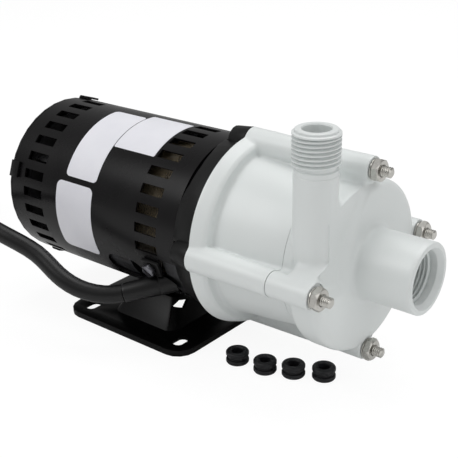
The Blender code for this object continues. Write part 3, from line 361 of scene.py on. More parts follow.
def makePlastic(name, light, dark, roughness, grain=0.03):
    # Injection moulded plastic: slow drift in tone, a fine skin and faint scuffs
    finish = Finish(name, IOR=1.5)
    drift = finish.noise(24, 3.0)
    skin = finish.noise(2600, 2.0)
    scuff = finish.between(finish.noise(310, 5.0), 0.62, 0.80)
    colour = finish.blend(drift, dark, light)
    colour = finish.blend(scuff * 0.18, colour, dark)
    return finish.wear(
        colour, roughness + drift * 0.08 + scuff * 0.14,
        finish.bump(skin + drift * 0.4, grain, 0.08))


def makePaint(name, colour, sheen, roughness, peel=0.12):
    # Stoved black paint: orange peel, dust in it and rubbed patches
    finish = Finish(name, Specular_IOR_Level=0.19)
    lumps = finish.noise(950, 3.0)
    dust = finish.between(finish.noise(3200, 2.0), 0.70, 0.78)
    rub = finish.noise(55, 4.0)
    shade = finish.blend(rub, colour, sheen)
    shade = finish.blend(dust * 0.35, shade, (74, 74, 76))
    return finish.wear(
        shade, roughness + rub * 0.16 + dust * 0.2, finish.bump(lumps, peel, 0.05))


def makeMetal(name, light, dark, roughness, stretch=(1, 1, 1), scale=900, mark=0.08):
    # Bare metal with drawn or turned marks and a few dull spots
    finish = Finish(name, Metallic=1.0)
    lines = finish.noise(scale, 3.0, finish.stretched(stretch))
    spots = finish.between(finish.noise(420, 4.0), 0.55, 0.75)
    shade = finish.blend(lines, dark, light)
    shade = finish.blend(spots * 0.5, shade, dark)
    return finish.wear(
        shade, roughness + lines * 0.12 + spots * 0.15, finish.bump(lines, mark, 0.03))


def makeRubber(name, colour, light, roughness):
    # Rubber or soft vinyl: matt skin with bloom and dust
    finish = Finish(name, Specular_IOR_Level=0.35)
    bloom = finish.noise(140, 4.0)
    skin = finish.noise(1800, 3.0)
    return finish.wear(
        finish.blend(bloom * 0.6 + skin * 0.25, colour, light),
        roughness + bloom * 0.15, finish.bump(skin, 0.06, 0.04))


def makeShadedWindings():
    # Varnished magnet wire lying round the core, its tones darkened by about half as painted
    # shade for the inside of the can
    finish = Finish("windingCopperShaded", IOR=1.5)
    wires = finish.bands(330.0, 5.0, 2.0, 1.6)
    varnish = finish.noise(90, 4.0)
    # Both tones are the wire's own tan and gaps, darkened as painted shade
    shade = finish.blend(wires, (34, 27, 18), (118, 104, 78))
    shade = finish.blend(varnish * 0.5, shade, (84, 76, 58))
    return finish.wear(shade, 0.3 + varnish * 0.25, finish.bump(wires, 0.6, 0.5))


def makeShadedLaminations():
    # Stacked iron sheets with some rust, their tones darkened as painted shade for the inside of
    # the can
    finish = Finish("coreIronShaded", Metallic=0.8)
    sheets = finish.bands(300.0, 0.4, 1.0)
    rust = finish.between(finish.noise(120, 5.0), 0.5, 0.8)
    shade = finish.blend(sheets, (34, 35, 37), (66, 67, 70))
    shade = finish.blend(rust * 0.4, shade, (56, 46, 36))
    return finish.wear(shade, 0.42 + rust * 0.2, finish.bump(sheets, 0.4, 0.2))


def makeLabel():
    # Bare coated label stock
    finish = Finish("labelStock", IOR=1.45)
    fibre = finish.noise(1300, 4.0)
    cloud = finish.noise(60, 3.0)
    shade = finish.blend(cloud, (224, 224, 231), (236, 236, 241))
    return finish.wear(shade, 0.34 + fibre * 0.12, finish.bump(fibre + cloud, 0.08, 0.03))


finishes = {
    "white_plastic": makePlastic("whitePlastic", (228, 232, 231), (221, 225, 224), 0.32),
    "barrier_plastic": makePlastic(
        "barrierPlastic", (206, 208, 200), (190, 192, 184), 0.42),
    "impeller_plastic": makePlastic(
        "impellerPlastic", (196, 200, 196), (176, 182, 178), 0.45),
    "fan_plastic": makePlastic("fanPlastic", (44, 44, 46), (34, 34, 36), 0.5),
    "motor_black": makePaint("motorBlack", (12, 11, 12), (19, 18, 19), 0.20),
    "base_black": makePaint("baseBlack", (5, 5, 5), (9, 8, 9), 0.24),
    "adapter_black": makePaint("adapterBlack", (16, 16, 16), (26, 26, 26), 0.34, 0.2),
    "bell_metal": makeMetal("bellMetal", (96, 96, 98), (66, 66, 68), 0.45),
    "fastener_steel": makeMetal(
        "fastenerSteel", (216, 214, 209), (176, 174, 168), 0.24, (1, 4, 4), 700),
    "clamp_screw_steel": makeMetal("clampScrewSteel", (150, 150, 156), (96, 96, 102), 0.26),
    "shaft_steel": makeMetal("shaftSteel", (206, 206, 204), (178, 178, 178), 0.2, (9, 1, 1)),
    "core_iron": makeShadedLaminations(),
    "winding_copper": makeShadedWindings(),
    "magnet_iron": makePlastic("magnetIron", (58, 58, 62), (40, 40, 44), 0.42, 0.12),
    "ceramic": makePlastic("ceramic", (232, 230, 218), (220, 218, 204), 0.2, 0.02),
    "carbon": makePlastic("carbon", (52, 52, 54), (36, 36, 38), 0.4, 0.1),
    "seal_rubber": makeRubber("sealRubber", (20, 20, 20), (38, 38, 38), 0.55),
    "grommet_rubber": makeRubber("grommetRubber", (13, 13, 15), (34, 34, 37), 0.40),
    "cord_rubber": makeRubber("cordRubber", (4, 4, 4), (14, 14, 15), 0.33),
    "plug_plastic": makeRubber("plugPlastic", (17, 17, 18), (38, 38, 40), 0.38),
    "label": makeLabel(),
}
print("finishes made")

# Camera: the photograph's own view

view = {
    "place": (0.27849, -0.33015, 0.23836), "azimuth": 39.837, "elevation": 23.096,
    "roll": -1.096, "lens": 73.94, "sensor": 36.0,
}


def makeCamera():
    turn = (turned(view["azimuth"], "Z") @ turned(90 - view["elevation"])
            @ turned(view["roll"], "Z"))
    lens = bpy.data.cameras.new("photoView")
    lens.lens = view["lens"]
    lens.sensor_width = view["sensor"]
    lens.sensor_fit = "HORIZONTAL"
    made = bpy.data.objects.new("photoView", lens)
    made.matrix_world = Matrix.Translation(view["place"]) @ turn.to_4x4()
    scene.collection.objects.link(made)
    scene.camera = made


makeCamera()
print("camera set")

# Power cord: from the boot, over to its coil, round the coil and up to the plug

cordPlan = {
    "radius": 4.5,
    "exit": (-7.0, -36.3, 36.4),
    "way": (-0.718, -0.663, -0.212),
    "bootLength": 21.0,
    "route": (
        (-27.2, -54.7, 30.7), (-38.3, -61.7, 31.4), (-53.2, -65.5, 38.2),
        (-66.9, -63.5, 46.3), (-86.6, -71.7, 54.2), (-103.0, -72.4, 58.8),
        (-120.9, -76.4, 56.1), (-136.2, -76.9, 49.3), (-150.1, -76.5, 41.0),
        (-163.0, -77.2, 34.9), (-177.5, -78.4, 31.9), (-191.5, -80.8, 32.1),
        (-205.5, -83.1, 32.1), (-219.5, -85.4, 32.1)),
    "coilCentre": (-240.0, -40.0),
    "innerTurn": 43.42,
    "middleTurn": 48.0,
    "outerTurn": 52.5,
    "layers": (4.8, 13.9, 23.0),
    "onTop": 32.1,
    "pointEvery": 15,
    "pointsOut": 1.0116,
    "plug": (-240.0, 8.0, 37.6),
}
cordExit = Vector(cordPlan["exit"])
cordWay = Vector(cordPlan["way"]).normalized()


def coilPoint(degrees, radius, height):
    # Degrees run clockwise, seen from above, from the coil's near side
    turn = math.radians(270 - degrees)
    x, y = cordPlan["coilCentre"]
    return (x + radius * math.cos(turn), y + radius * math.sin(turn), height)


def coilPoints():
    # Down the inner column, across the floor, up the outer column and on to the plug.
    # Each stage is its first and last degree, then radius and height at both.
    low, middle, high = cordPlan["layers"]
    inner, between, outer = pick(cordPlan, "innerTurn", "middleTurn", "outerTurn")
    top = cordPlan["onTop"]
    plugZ = cordPlan["plug"][2]
    stages = [
        (-5, 40, between, inner, top, top), (40, 130, inner, inner, top, high),
        (130, 400, inner, inner, high, high), (400, 490, inner, inner, high, middle),
        (490, 760, inner, inner, middle, middle), (760, 850, inner, inner, middle, low),
        (850, 980, inner, inner, low, low), (980, 1100, inner, outer, low, low),
        (1100, 1240, outer, outer, low, low), (1240, 1330, outer, outer, low, middle),
        (1330, 1600, outer, outer, middle, middle), (1600, 1690, outer, outer, middle, high),
        (1690, 1850, outer, outer, high, high), (1850, 1935, outer, outer, high, plugZ),
        (1935, 1962, outer, between, plugZ, plugZ)]
    points = []
    for start, end, radiusA, radiusB, heightA, heightB in stages:
        count = max(2, round((end - start) / cordPlan["pointEvery"]))
        for step in range(count):
            share = glide(step / count)
            points.append(coilPoint(
                start + (end - start) * step / count,
                (radiusA + (radiusB - radiusA) * share) * cordPlan["pointsOut"],
                heightA + (heightB - heightA) * share))
    return points


def makeCord():
    start = cordExit + cordWay * (cordPlan["bootLength"] + 0.3)
    plugX, plugY, plugZ = cordPlan["plug"]
    route = [tuple(start), *cordPlan["route"], *coilPoints(),
             (plugX - 22, plugY + 0.4, plugZ), (plugX - 15, plugY, plugZ)]
    curve = bpy.data.curves.new("powerCord", "CURVE")
    curve.dimensions = "3D"
    curve.bevel_depth = cordPlan["radius"] * mm
    curve.bevel_resolution = 5
    curve.resolution_u = 4
    curve.render_resolution_u = 4
    curve.use_fill_caps = True
    line = curve.splines.new("NURBS")
    line.points.add(len(route) - 1)
    for dot, place in zip(line.points, route):
        dot.co = (*[part * mm for part in place], 1.0)
    line.order_u = 4
    line.use_endpoint_u = True
    line.use_smooth = True
    curve.materials.append(finishes["cord_rubber"])
    made = bpy.data.objects.new("powerCord", curve)
    scene.collection.objects.link(made)
    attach(made, "pump")
    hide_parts("power_cord", "cord_coil")
    return made, start * mm


powerCord, cordStart = makeCord()

plugPlan = {
    "length": 28, "width": 24, "height": 20, "neckShare": 0.72,
    "grips": 4, "firstGrip": -7, "gripEvery": 3.2,
    "contactReach": 17, "bladeThick": 1.5, "bladeHeight": 6.3, "bladeOut": 6.35,
    "bladeDown": 2.1, "earthUp": 6.3, "earthRadius": 2.1,
}


def makePlug():
    # Moulded plug with finger grooves, a neck and three contacts
    plan = plugPlan
    x, y, z = cordPlan["plug"]
    length, width, reach = plan["length"], plan["width"], plan["contactReach"]
    body = block((length * mm, width * mm, plan["height"] * mm), Vector((x, y, z)) * mm)
    for vert in body.verts:
        if vert.co.x < x * mm:
            vert.co.y = y * mm + (vert.co.y - y * mm) * plan["neckShare"]
            vert.co.z = z * mm + (vert.co.z - z * mm) * plan["neckShare"]
    roundEdges(body, 3.0, 4)
    made = solid("cordPlug", body)
    grooves = [
        block((1.2 * mm, 2 * mm, 12 * mm), Vector((
            x + plan["firstGrip"] + plan["gripEvery"] * step,
            y + side * width * (0.40 + 0.016 * step), z)) * mm)
        for step in range(plan["grips"]) for side in (1, -1)]
    carve(made, together(*grooves))
    face = x + length / 2
    pins = [
        roundEdges(block(
            (reach * mm, plan["bladeThick"] * mm, plan["bladeHeight"] * mm),
            Vector((face + reach / 2 - 0.5, y + side * plan["bladeOut"],
                    z - plan["bladeDown"])) * mm), 0.4, 2)
        for side in (1, -1)]
    pins.append(roundEdges(rod(
        plan["earthRadius"] * mm, Vector((face - 1, y, z + plan["earthUp"])) * mm,
        Vector((face + reach - 0.5, y, z + plan["earthUp"])) * mm, 24), 0.7, 2))
    piece(made, "plug_plastic", ("cord_plug",))
    contacts = piece(("plugContacts", together(*pins)), "plug_plastic", finish="shaft_steel")
    return made, contacts


cordPlug, plugContacts = makePlug()

bootPlan = {
    "seat": -5.4, "collar": 5.4, "collarLength": 3.0, "root": 5.3, "waist": 4.95,
    "tip": 4.8, "end": 4.6, "canRadius": 43.0,
}


def makeBoot():
    # Strain relief: a collar on the can, then a smooth boot that narrows to the cord
    plan = bootPlan
    length = cordPlan["bootLength"]
    seat, step, collar, root, tip = pick(plan, "seat", "collarLength", "collar", "root", "tip")
    profile = [
        (seat, 0.0), (seat, collar), (step - 0.5, collar), (step, collar - 0.4),
        (step + 0.3, root - 0.2), (step + 1.2, root), (length * 0.55, plan["waist"]),
        (length - 1.0, tip), (length - 0.3, tip - 0.1), (length, plan["end"]), (length, 0.0)]
    made = solid("strainRelief", spin(profile, 48, cordExit * mm, cordWay))
    carve(made, rod(plan["canRadius"] * mm, axle - alongX * 0.12, axle + alongX * 0.06, 192))
    piece(made, "cord_rubber", ("strain_relief",))


makeBoot()
print("cord laid")

# Pump end: the volute cover

coverPlan = {
    "voxel": 0.72, "softness": 7, "wall": 3.6,
    "rear": 63.1, "front": 85.2, "rimRadius": 37.2,
    "spiralRear": 70.6, "spiralSmall": 37.5, "spiralGrowth": 6.5, "growthShare": 0.75,
    "shoulder": 4.0, "rearRound": 1.5,
    "bossRadius": 5.8, "bossFace": 84.0, "spotFace": 6.3, "webFoot": 33,
    "inletEnd": 113.34, "inletRadius": 16.45, "inletBore": 13.0, "inletStop": 94.4,
    "throat": 9.0, "throatEnd": 76.4,
    "pipe": (72.8, -27.1), "pipeRadius": 9.65, "pipeFoot": 59, "pipeBore": 6.2,
    "pipeTop": 126.5, "plainTop": 107.2,
    "chamberFront": 80.0, "flangeStep": ((79.7, 0), (79.7, 29.3), (62.8, 29.3), (62.8, 0)),
    "flank": -30.5, "flankFoot": 4.0, "flankFade": 7,
    "saddleFront": 82.3, "saddleWidth": 6.0, "saddleFoot": -7, "saddleFar": 6,
    "saddleDepth": 0.92, "bossKeep": 3,
}
pipeX, pipeY = coverPlan["pipe"]
pipeLine = Vector((pipeX * mm, pipeY * mm, 0))


def drawIn(y, z, flank):
    # Beside the pipe the casing stays behind it, from just above the near boss
    share = fade((z - coverPlan["flankFoot"]) / coverPlan["flankFade"])
    return y + (max(y, flank) - y) * share


def spiralRadius(turn):
    # Grows from the top round the far side to the pipe's side, then drops back
    plan = coverPlan
    grown = plan["growthShare"]
    run = (math.pi / 2 - turn) % (2 * math.pi) / (2 * math.pi)
    if run <= grown:
        return plan["spiralSmall"] + plan["spiralGrowth"] * (run / grown) ** 1.4
    drop = (1 + math.cos(math.pi * (run - grown) / (1 - grown))) / 2
    return plan["spiralSmall"] + plan["spiralGrowth"] * drop


def makeSpiral(rear, front, inset, frontRound, rearRound):
    work = bmesh.new()
    bmesh.ops.create_circle(work, cap_ends=True, segments=192, radius=1.0)
    for vert in work.verts:
        vert.co *= (spiralRadius(math.atan2(vert.co.y, vert.co.x)) - inset) * mm
    raiseFaces(work, front - rear)
    for station, size in ((front - rear, frontRound), (0, rearRound)):
        rim = [edge for edge in work.edges
               if all(abs(vert.co.z - station * mm) < 1e-6 for vert in edge.verts)]
        if size:
            bmesh.ops.bevel(
                work, geom=rim, offset=size * mm, segments=6, profile=0.5,
                affect="EDGES", material=-1)
    layAlong(work, rear)
    return work


def sinkSaddle(cover):
    # Draws the casing in beside the pipe, and dips it in a soft valley by the front face
    plan = coverPlan
    low, foot = plan["saddleFront"], plan["saddleFoot"]
    for vert in cover.data.vertices:
        x, y, z = (part / mm for part in vert.co)
        z -= axleHeight
        fromPipe = math.hypot(x - pipeX, y - pipeY) - plan["pipeRadius"]
        fromBoss = math.hypot(y + boltCircle, z) - plan["bossRadius"]
        if y < plan["flank"] and fromPipe > 0.05 and x > plan["spiralRear"] - 3:
            across = min(1, abs(x - pipeX) / plan["pipeRadius"])
            pipeFace = pipeY - plan["pipeRadius"] * math.sqrt(1 - across ** 2)
            drawn = drawIn(y, z, min(plan["flank"], pipeFace))
            y += (drawn - y) * fade(fromBoss / 2)
            vert.co.y = y * mm
        if x <= low or z < foot or y > plan["saddleFar"]:
            continue
        # The valley's edge runs from y -19 beside the axle to -1.2 at the top
        valley = -19 + 17.8 * (max(z, 0) / 38) ** 1.7
        share = fade((valley - y) / plan["saddleWidth"])
        share *= fade((z - foot) / -foot)
        for bossY, bossZ in ((0, boltCircle), (-boltCircle, 0)):
            away = math.hypot(y - bossY, z - bossZ) - plan["bossRadius"]
            share *= fade(away / plan["bossKeep"])
        vert.co.x = (low + (x - low) * (1 - plan["saddleDepth"] * share)) * mm


def boltRods(radius, start, end, segments=32, endRadius=None):
    # The same rod at each of the four bolts
    return [rod(radius * mm, onCircle(start, boltCircle, turn),
                onCircle(end, boltCircle, turn), segments, (endRadius or radius) * mm)
            for turn in (0, 90, 180, 270)]


def bossWebs(rear, front, inner):
    # Ribs that join the bosses to the round wall
    size = (front - rear) * mm, (boltCircle - inner) * mm, webWidth * mm
    middle = (inner + boltCircle) / 2
    return [block(size, onCircle((rear + front) / 2, middle, turn), turned(turn))
            for turn in (0, 90, 180, 270)]


def makeCover():
    plan = coverPlan
    rear, front, end, spiral = pick(plan, "rear", "front", "inletEnd", "spiralRear")
    rim, inlet, bore, wall = pick(plan, "rimRadius", "inletRadius", "inletBore", "wall")
    shapes = [
        spin([(front - 4, 0), (front - 4, rim), (rear - 2, rim), (rear - 2, 0)], 192),
        makeSpiral(spiral, front, 0.0, plan["shoulder"], plan["rearRound"]),
        spin([(end - 1.0, 0), (end - 1.0, inlet), (front + 2.2, inlet),
              (front + 0.9, inlet + 0.5), (front + 0.1, inlet + 1.9),
              (front - 3, inlet + 1.9), (front - 3, 0)], 144),
        rod(plan["pipeRadius"] * mm, pipeLine + alongZ * plan["pipeFoot"] * mm,
            pipeLine + alongZ * plan["plainTop"] * mm, 96)]
    shapes += boltRods(plan["bossRadius"], rear - 2, plan["bossFace"] + 0.6, 64)
    shapes += bossWebs(rear - 2, plan["bossFace"] - 0.6, plan["webFoot"])
    cover = mould("voluteCover", together(*shapes), plan["voxel"], plan["softness"])
    sinkSaddle(cover)
    trim(cover, rear, True)
    trim(cover, end - 3.0, False)
    chamber = makeSpiral(spiral + wall, plan["chamberFront"], wall, 0, 0)
    for vert in chamber.verts:
        height = vert.co.z / mm - axleHeight + 2
        vert.co.y = drawIn(vert.co.y / mm, height, plan["flank"] + wall) * mm
    stop, throat, throatEnd = pick(plan, "inletStop", "throat", "throatEnd")
    carve(
        cover, chamber, spin(plan["flangeStep"], 96),
        spin([(end + 1, 0), (end + 1, bore), (stop, bore), (stop - 0.3, throat),
              (throatEnd, throat), (throatEnd, 0)], 96),
        together(*boltRods(boltHole, 62, 90)),
        together(*boltRods(plan["spotFace"], plan["bossFace"], 90, 64)),
        rod(plan["pipeBore"] * mm, pipeLine + alongZ * 61 * mm, pipeLine + alongZ * 128 * mm,
            64))
    piece(cover, "white_plastic", ("volute_cover",), 50)


inletPlan = {
    "mouth": 14.0, "land": 12.4, "turns": 6, "firstTurn": 5.8, "pitch": 1.81, "root": 12.65,
    "taper": 0.05, "depth": 1.15, "foot": 17.5,
}


def makeInletMouth():
    # Rounded rim, lead-in cone, plain land and an internal pipe thread
    plan = inletPlan
    end, outer, bore = pick(coverPlan, "inletEnd", "inletRadius", "inletBore")
    mouth = [
        (end - 3.0, outer), (end - 0.9, outer), (end - 0.3, outer - 0.3), (end, outer - 0.9),
        (end, plan["mouth"]), (end - 0.25, plan["mouth"] - 0.2), (end - 2.6, plan["land"]),
        (end - 5.4, plan["land"] - 0.1)]
    for step in range(plan["turns"]):
        along = end - plan["firstTurn"] - step * plan["pitch"]
        root = plan["root"] - step * plan["taper"]
        crest = root - plan["depth"]
        mouth += [(along, root), (along - 0.35, root), (along - 0.85, crest),
                  (along - 1.25, crest)]
    mouth += [(end - plan["foot"], 11.8), (end - plan["foot"] - 1, bore),
              (end - 3.0, bore + 0.4)]
    piece(("inletMouth", spin(mouth, 128)), "white_plastic", sharp=28)


dischargePlan = {
    "core": 8.7, "root": 8.5, "crest": 10.1, "band": 10.35, "foot": 109.8, "turns": 7.6,
    "pitch": 1.87, "grow": 1.012, "taper": 0.014, "runOut": 26,
}


def makeDischargeEnd():
    # Plain tip and band at the top, then a tapered thread down to a short neck
    plan = dischargePlan
    top, outer, bore = pick(coverPlan, "pipeTop", "pipeRadius", "pipeBore")
    core, root, crest, band, foot = pick(plan, "core", "root", "crest", "band", "foot")
    tip = [
        (top, 6.6), (top, 8.8), (top - 0.25, 9.15), (top - 1.1, 9.25), (top - 1.3, crest),
        (top - 1.5, band), (top - 2.2, band), (top - 2.5, core), (foot, core), (109.3, 9.5),
        (107.3, 9.45), (107.0, outer + 0.02), (105.0, outer + 0.02), (104.6, outer - 0.2),
        (104.6, bore), (top - 0.5, bore)]
    thread = spin([(0.0, root), (0.5, crest), (1.0, crest), (1.5, root)], 64,
                  pipeLine + alongZ * foot * mm, alongZ, sweep=plan["turns"],
                  climb=plan["pitch"])
    last = len(thread.verts) // 4 - 1
    for index, vert in enumerate(sorted(thread.verts, key=lambda dot: dot.index)):
        share = (index // 4) / last
        out = Vector((vert.co.x - pipeLine.x, vert.co.y - pipeLine.y, 0))
        grow = plan["grow"] + plan["taper"] * share
        sink = min(1.0, share * plan["runOut"], (1 - share) * plan["runOut"])
        radius = root * mm + (out.length * grow - root * mm) * sink
        vert.co.x = pipeLine.x + out.x / out.length * radius
        vert.co.y = pipeLine.y + out.y / out.length * radius
    bmesh.ops.holes_fill(thread, edges=[edge for edge in thread.edges if edge.is_boundary])
    bmesh.ops.recalc_face_normals(thread, faces=thread.faces)
    piece(("dischargeThread", together(spin(tip, 96, pipeLine, alongZ), thread)),
          "white_plastic", sharp=28)


makeCover()
makeInletMouth()
makeDischargeEnd()
print("volute cover made")

# Pump end: the magnet housing

housingPlan = {
    "voxel": 0.62, "softness": 2, "rear": 18.6, "front": 62.8,
    "lipFront": 26.1, "lipRadius": 47.35, "lipFrontRadius": 45.6, "lipRound": 1.4,
    "drumRear": 40.3, "drumFront": 37.06,
    "bossRear": 6.84, "bossFront": 5.96, "webFoot": 34,
    "chamber": ((63.5, 0), (63.5, 33.9), (59.9, 33.9), (59.9, 29.7), (56.6, 29.7),
                (56.6, 34.2), (18, 37.0), (18, 0)),
}


def makeHousing():
    plan = housingPlan
    rear, front, lip, drum = pick(plan, "rear", "front", "lipFront", "drumRear")
    wide, narrow, soft = pick(plan, "lipRadius", "lipFrontRadius", "lipRound")
    shapes = [
        spin([(front + 2, 0), (front + 2, plan["drumFront"] - 0.18), (lip + 1.2, drum),
              (lip, drum + 0.8), (lip, narrow - soft), (lip - soft, narrow),
              (rear + 0.7, wide), (rear - 2, wide), (rear - 2, 0)], 192)]
    shapes += boltRods(plan["bossRear"], rear - 2, front + 2, 64, plan["bossFront"])
    shapes += bossWebs(rear - 2, front + 2, plan["webFoot"])
    housing = mould("magnetHousing", together(*shapes), plan["voxel"], plan["softness"])
    trim(housing, rear, True)
    trim(housing, front, False)
    carve(housing, spin(plan["chamber"], 96),
          together(*boltRods(boltHole, 17, 64)))
    piece(housing, "white_plastic", ("magnet_housing",), 50)


makeHousing()
print("magnet housing made")

# Fasteners at the pump end

fastenerPlan = {
    "nutX": 85.4, "nutFlats": 9.53, "nutHeight": 3.2, "nutTurns": (12, 38, 17, 52),
    "washerX": 84.3, "washerRadius": 4.8, "washerBore": 2.75,
    "tipX": 93.07, "boltRadius": 2.4, "threadPitch": 0.95, "threadDepth": 0.42,
    "threadEnd": 84.5, "headX": 6.0, "headRadius": 3.3,
}


def makeNut(name, centre, turn):
    # A hex nut with turned corners at both faces and a countersunk hole
    plan = fastenerPlan
    corner = plan["nutFlats"] / math.sqrt(3)
    rear = plan["nutX"]
    front = rear + plan["nutHeight"]
    far = corner + 3
    nut = hexagon(plan["nutFlats"], plan["nutHeight"])
    move(nut, Matrix.Translation(centre + alongX * (rear + plan["nutHeight"] / 2) * mm)
         @ (turned(90, "Y") @ turned(turn, "Z")).to_4x4())
    made = solid(name, nut)
    carve(
        made,
        spin([(front + 1, corner - 2.2), (front + 1, far), (front - 1.3, far),
              (front - 1.3, corner + 0.25), (front, corner - 0.95)], 48, centre),
        spin([(rear - 1, corner - 1.2), (rear, corner - 0.55), (rear + 0.5, corner + 0.3),
              (rear + 0.5, far), (rear - 1, far)], 48, centre),
        spin([(front + 1, 0), (front + 1, 3.5), (front - 0.5, 2.5), (rear + 0.5, 2.5),
              (rear - 1, 3.4), (rear - 1, 0)], 32, centre))
    return made


def washerProfile():
    x, outer, bore = pick(fastenerPlan, "washerX", "washerRadius", "washerBore")
    return [(x + 0.8, bore), (x + 0.8, outer - 0.25), (x + 0.6, outer), (x + 0.15, outer),
            (x, outer - 0.2), (x, bore)]


def boltProfile():
    # From the tip through its thread and the plain shank to a round head
    plan = fastenerPlan
    tip, radius, pitch = pick(plan, "tipX", "boltRadius", "threadPitch")
    head, wide = pick(plan, "headX", "headRadius")
    root, shank = radius - plan["threadDepth"], radius - 0.05
    profile = [(tip, 0), (tip, radius - 0.75), (tip - 0.15, radius - 0.6)]
    along = tip - 0.5
    while along > plan["threadEnd"]:
        profile += [(along, radius), (along - 0.12, radius), (along - pitch * 0.5, root),
                    (along - pitch * 0.62, root)]
        along -= pitch
    return profile + [
        (84.0, shank), (head + 2.8, shank), (head + 2.8, wide - 0.2), (head + 2.6, wide),
        (head + 1.2, wide), (head + 0.6, 2.6), (head + 0.6, 0)]


def makeFasteners():
    for index, turn in enumerate(fastenerPlan["nutTurns"]):
        centre = onCircle(0, boltCircle, 90 * index)
        number = str(index + 1)
        nut = makeNut("nut" + number, centre, turn)
        washer = spin(washerProfile(), 48, centre)
        bolt = spin(boltProfile(), 32, centre)
        for made, node, sharp in (
                (nut, "nut_", 24), (("washer" + number, washer), "washer_", 28),
                (("bolt" + number, bolt), "bolt_", 24)):
            piece(made, "fastener_steel", (node + number,), sharp)


makeFasteners()
print("fasteners made")

# Motor can

canPlan = {
    "rear": -111.2, "front": 5.1, "radius": 42.7, "wall": 1.0, "slots": 28,
    "slotAngle": 83.5, "rearSlots": (-101.8, -87.6), "frontSlots": (-20.3, -6.3),
    "frontSlotsFrom": -0.18,
    "noseCut": ((12.6, 120, 40), (-0.1, 0, 31.1)),
    "openings": (211.5, 328.5), "openingX": -32.8, "openingRadius": 7.5, "openingStretch": 5,
    "cordHole": 5.1, "screwHole": 2.2, "screwsX": -24.0, "screwsOut": 9.0,
    "clampHole": 2.0, "clampHoleAt": (-11.0, 43.8, 199.5),
}


def makeSleeve():
    # A tube in bands, with the faces of the cooling slots taken out
    plan = canPlan
    stations = [plan["rear"], *plan["rearSlots"], *plan["frontSlots"], plan["front"]]
    work = bmesh.new()
    bmesh.ops.create_circle(work, segments=plan["slots"] * 8, radius=plan["radius"] * mm)
    move(work, turned(plan["slotAngle"] - 180 / plan["slots"] / 2, "Z"))
    bmesh.ops.translate(work, vec=(0, 0, stations[0] * mm), verts=work.verts)
    rim = work.edges[:]
    for low, high in zip(stations, stations[1:]):
        drawn = bmesh.ops.extrude_edge_only(work, edges=rim)["geom"]
        rim = only(drawn, bmesh.types.BMEdge)
        bmesh.ops.translate(
            work, vec=(0, 0, (high - low) * mm), verts=only(drawn, bmesh.types.BMVert))
    opened = []
    for face in work.faces:
        centre = face.calc_center_median()
        turn = math.atan2(centre.y, centre.x)
        phase = ((math.degrees(turn) - plan["slotAngle"]) / (360 / plan["slots"]) + 0.25) % 1
        band = sum(centre.z > station * mm for station in stations)
        slotted = band == 2 or (band == 4 and math.sin(turn) > plan["frontSlotsFrom"])
        if phase < 0.5 and slotted:
            opened.append(face)
    bmesh.ops.delete(work, geom=opened, context="FACES")
    layAlong(work, 0)
    for face in work.faces:
        face.normal_update()
        middle = face.calc_center_median() - axle
        if face.normal.dot(Vector((0, middle.y, middle.z))) < 0:
            face.normal_flip()
    return work


def outward(degrees):
    return Vector((0, math.cos(math.radians(degrees)), math.sin(math.radians(degrees))))


def makeOpening(degrees):
    # A cutter for one oblong opening low in the can
    plan = canPlan
    tool = bmesh.new()
    bmesh.ops.create_circle(tool, cap_ends=True, segments=48, radius=plan["openingRadius"] * mm)
    for vert in tool.verts:
        vert.co.y += math.copysign(plan["openingStretch"] * mm, vert.co.y)
    raiseFaces(tool, 10)
    move(tool, stood(onCircle(plan["openingX"], 37, degrees), outward(degrees)))
    return tool


def makeCan():
    plan = canPlan
    can = solid("motorCan", makeSleeve())
    wall = can.modifiers.new("wall", "SOLIDIFY")
    wall.thickness = plan["wall"] * mm
    wall.offset = -1.0
    wall.use_even_offset = True
    settle(can)
    noseSize, noseAt = plan["noseCut"]
    tools = [block([side * mm for side in noseSize], Vector(noseAt) * mm)]
    tools += [makeOpening(degrees) for degrees in plan["openings"]]
    hole = cordExit * mm
    tools.append(rod(
        plan["cordHole"] * mm, hole - cordWay * 13.5 * mm, hole + cordWay * 4.5 * mm, 40))
    for side in (1, -1):
        low = Vector((plan["screwsX"], side * plan["screwsOut"], 15.1)) * mm
        tools.append(rod(plan["screwHole"] * mm, low, low + alongZ * 8 * mm, 24))
    clampAt = onCircle(*plan["clampHoleAt"])
    inward = (axle + alongX * clampAt.x - clampAt).normalized()
    tools.append(rod(
        plan["clampHole"] * mm, clampAt - inward * 2 * mm, clampAt + inward * 4 * mm, 24))
    carve(can, *tools)
    softEdges(can, 0.18, 2, 50)
    piece(can, "motor_black", ("motor_can",), 30)
    even = can.modifiers.new("even", "WEIGHTED_NORMAL")
    even.keep_sharp = True


makeCan()
print("motor can made")

# Labels on the can, left bare

labelPlan = {
    "radius": 42.82, "thick": 0.1, "cutEvery": 1.2,
    "labels": (
        {"name": "labelRear", "x": (-71.3, -49.4), "turn": (90, 154), "corner": 2.4},
        {"name": "labelFront", "x": (-48.9, -21.7), "turn": (84, 126), "corner": 0.8},
        {"name": "labelLow", "x": (-76.2, -50.4), "turn": (158, 208.8), "corner": 3.2},
    ),
}


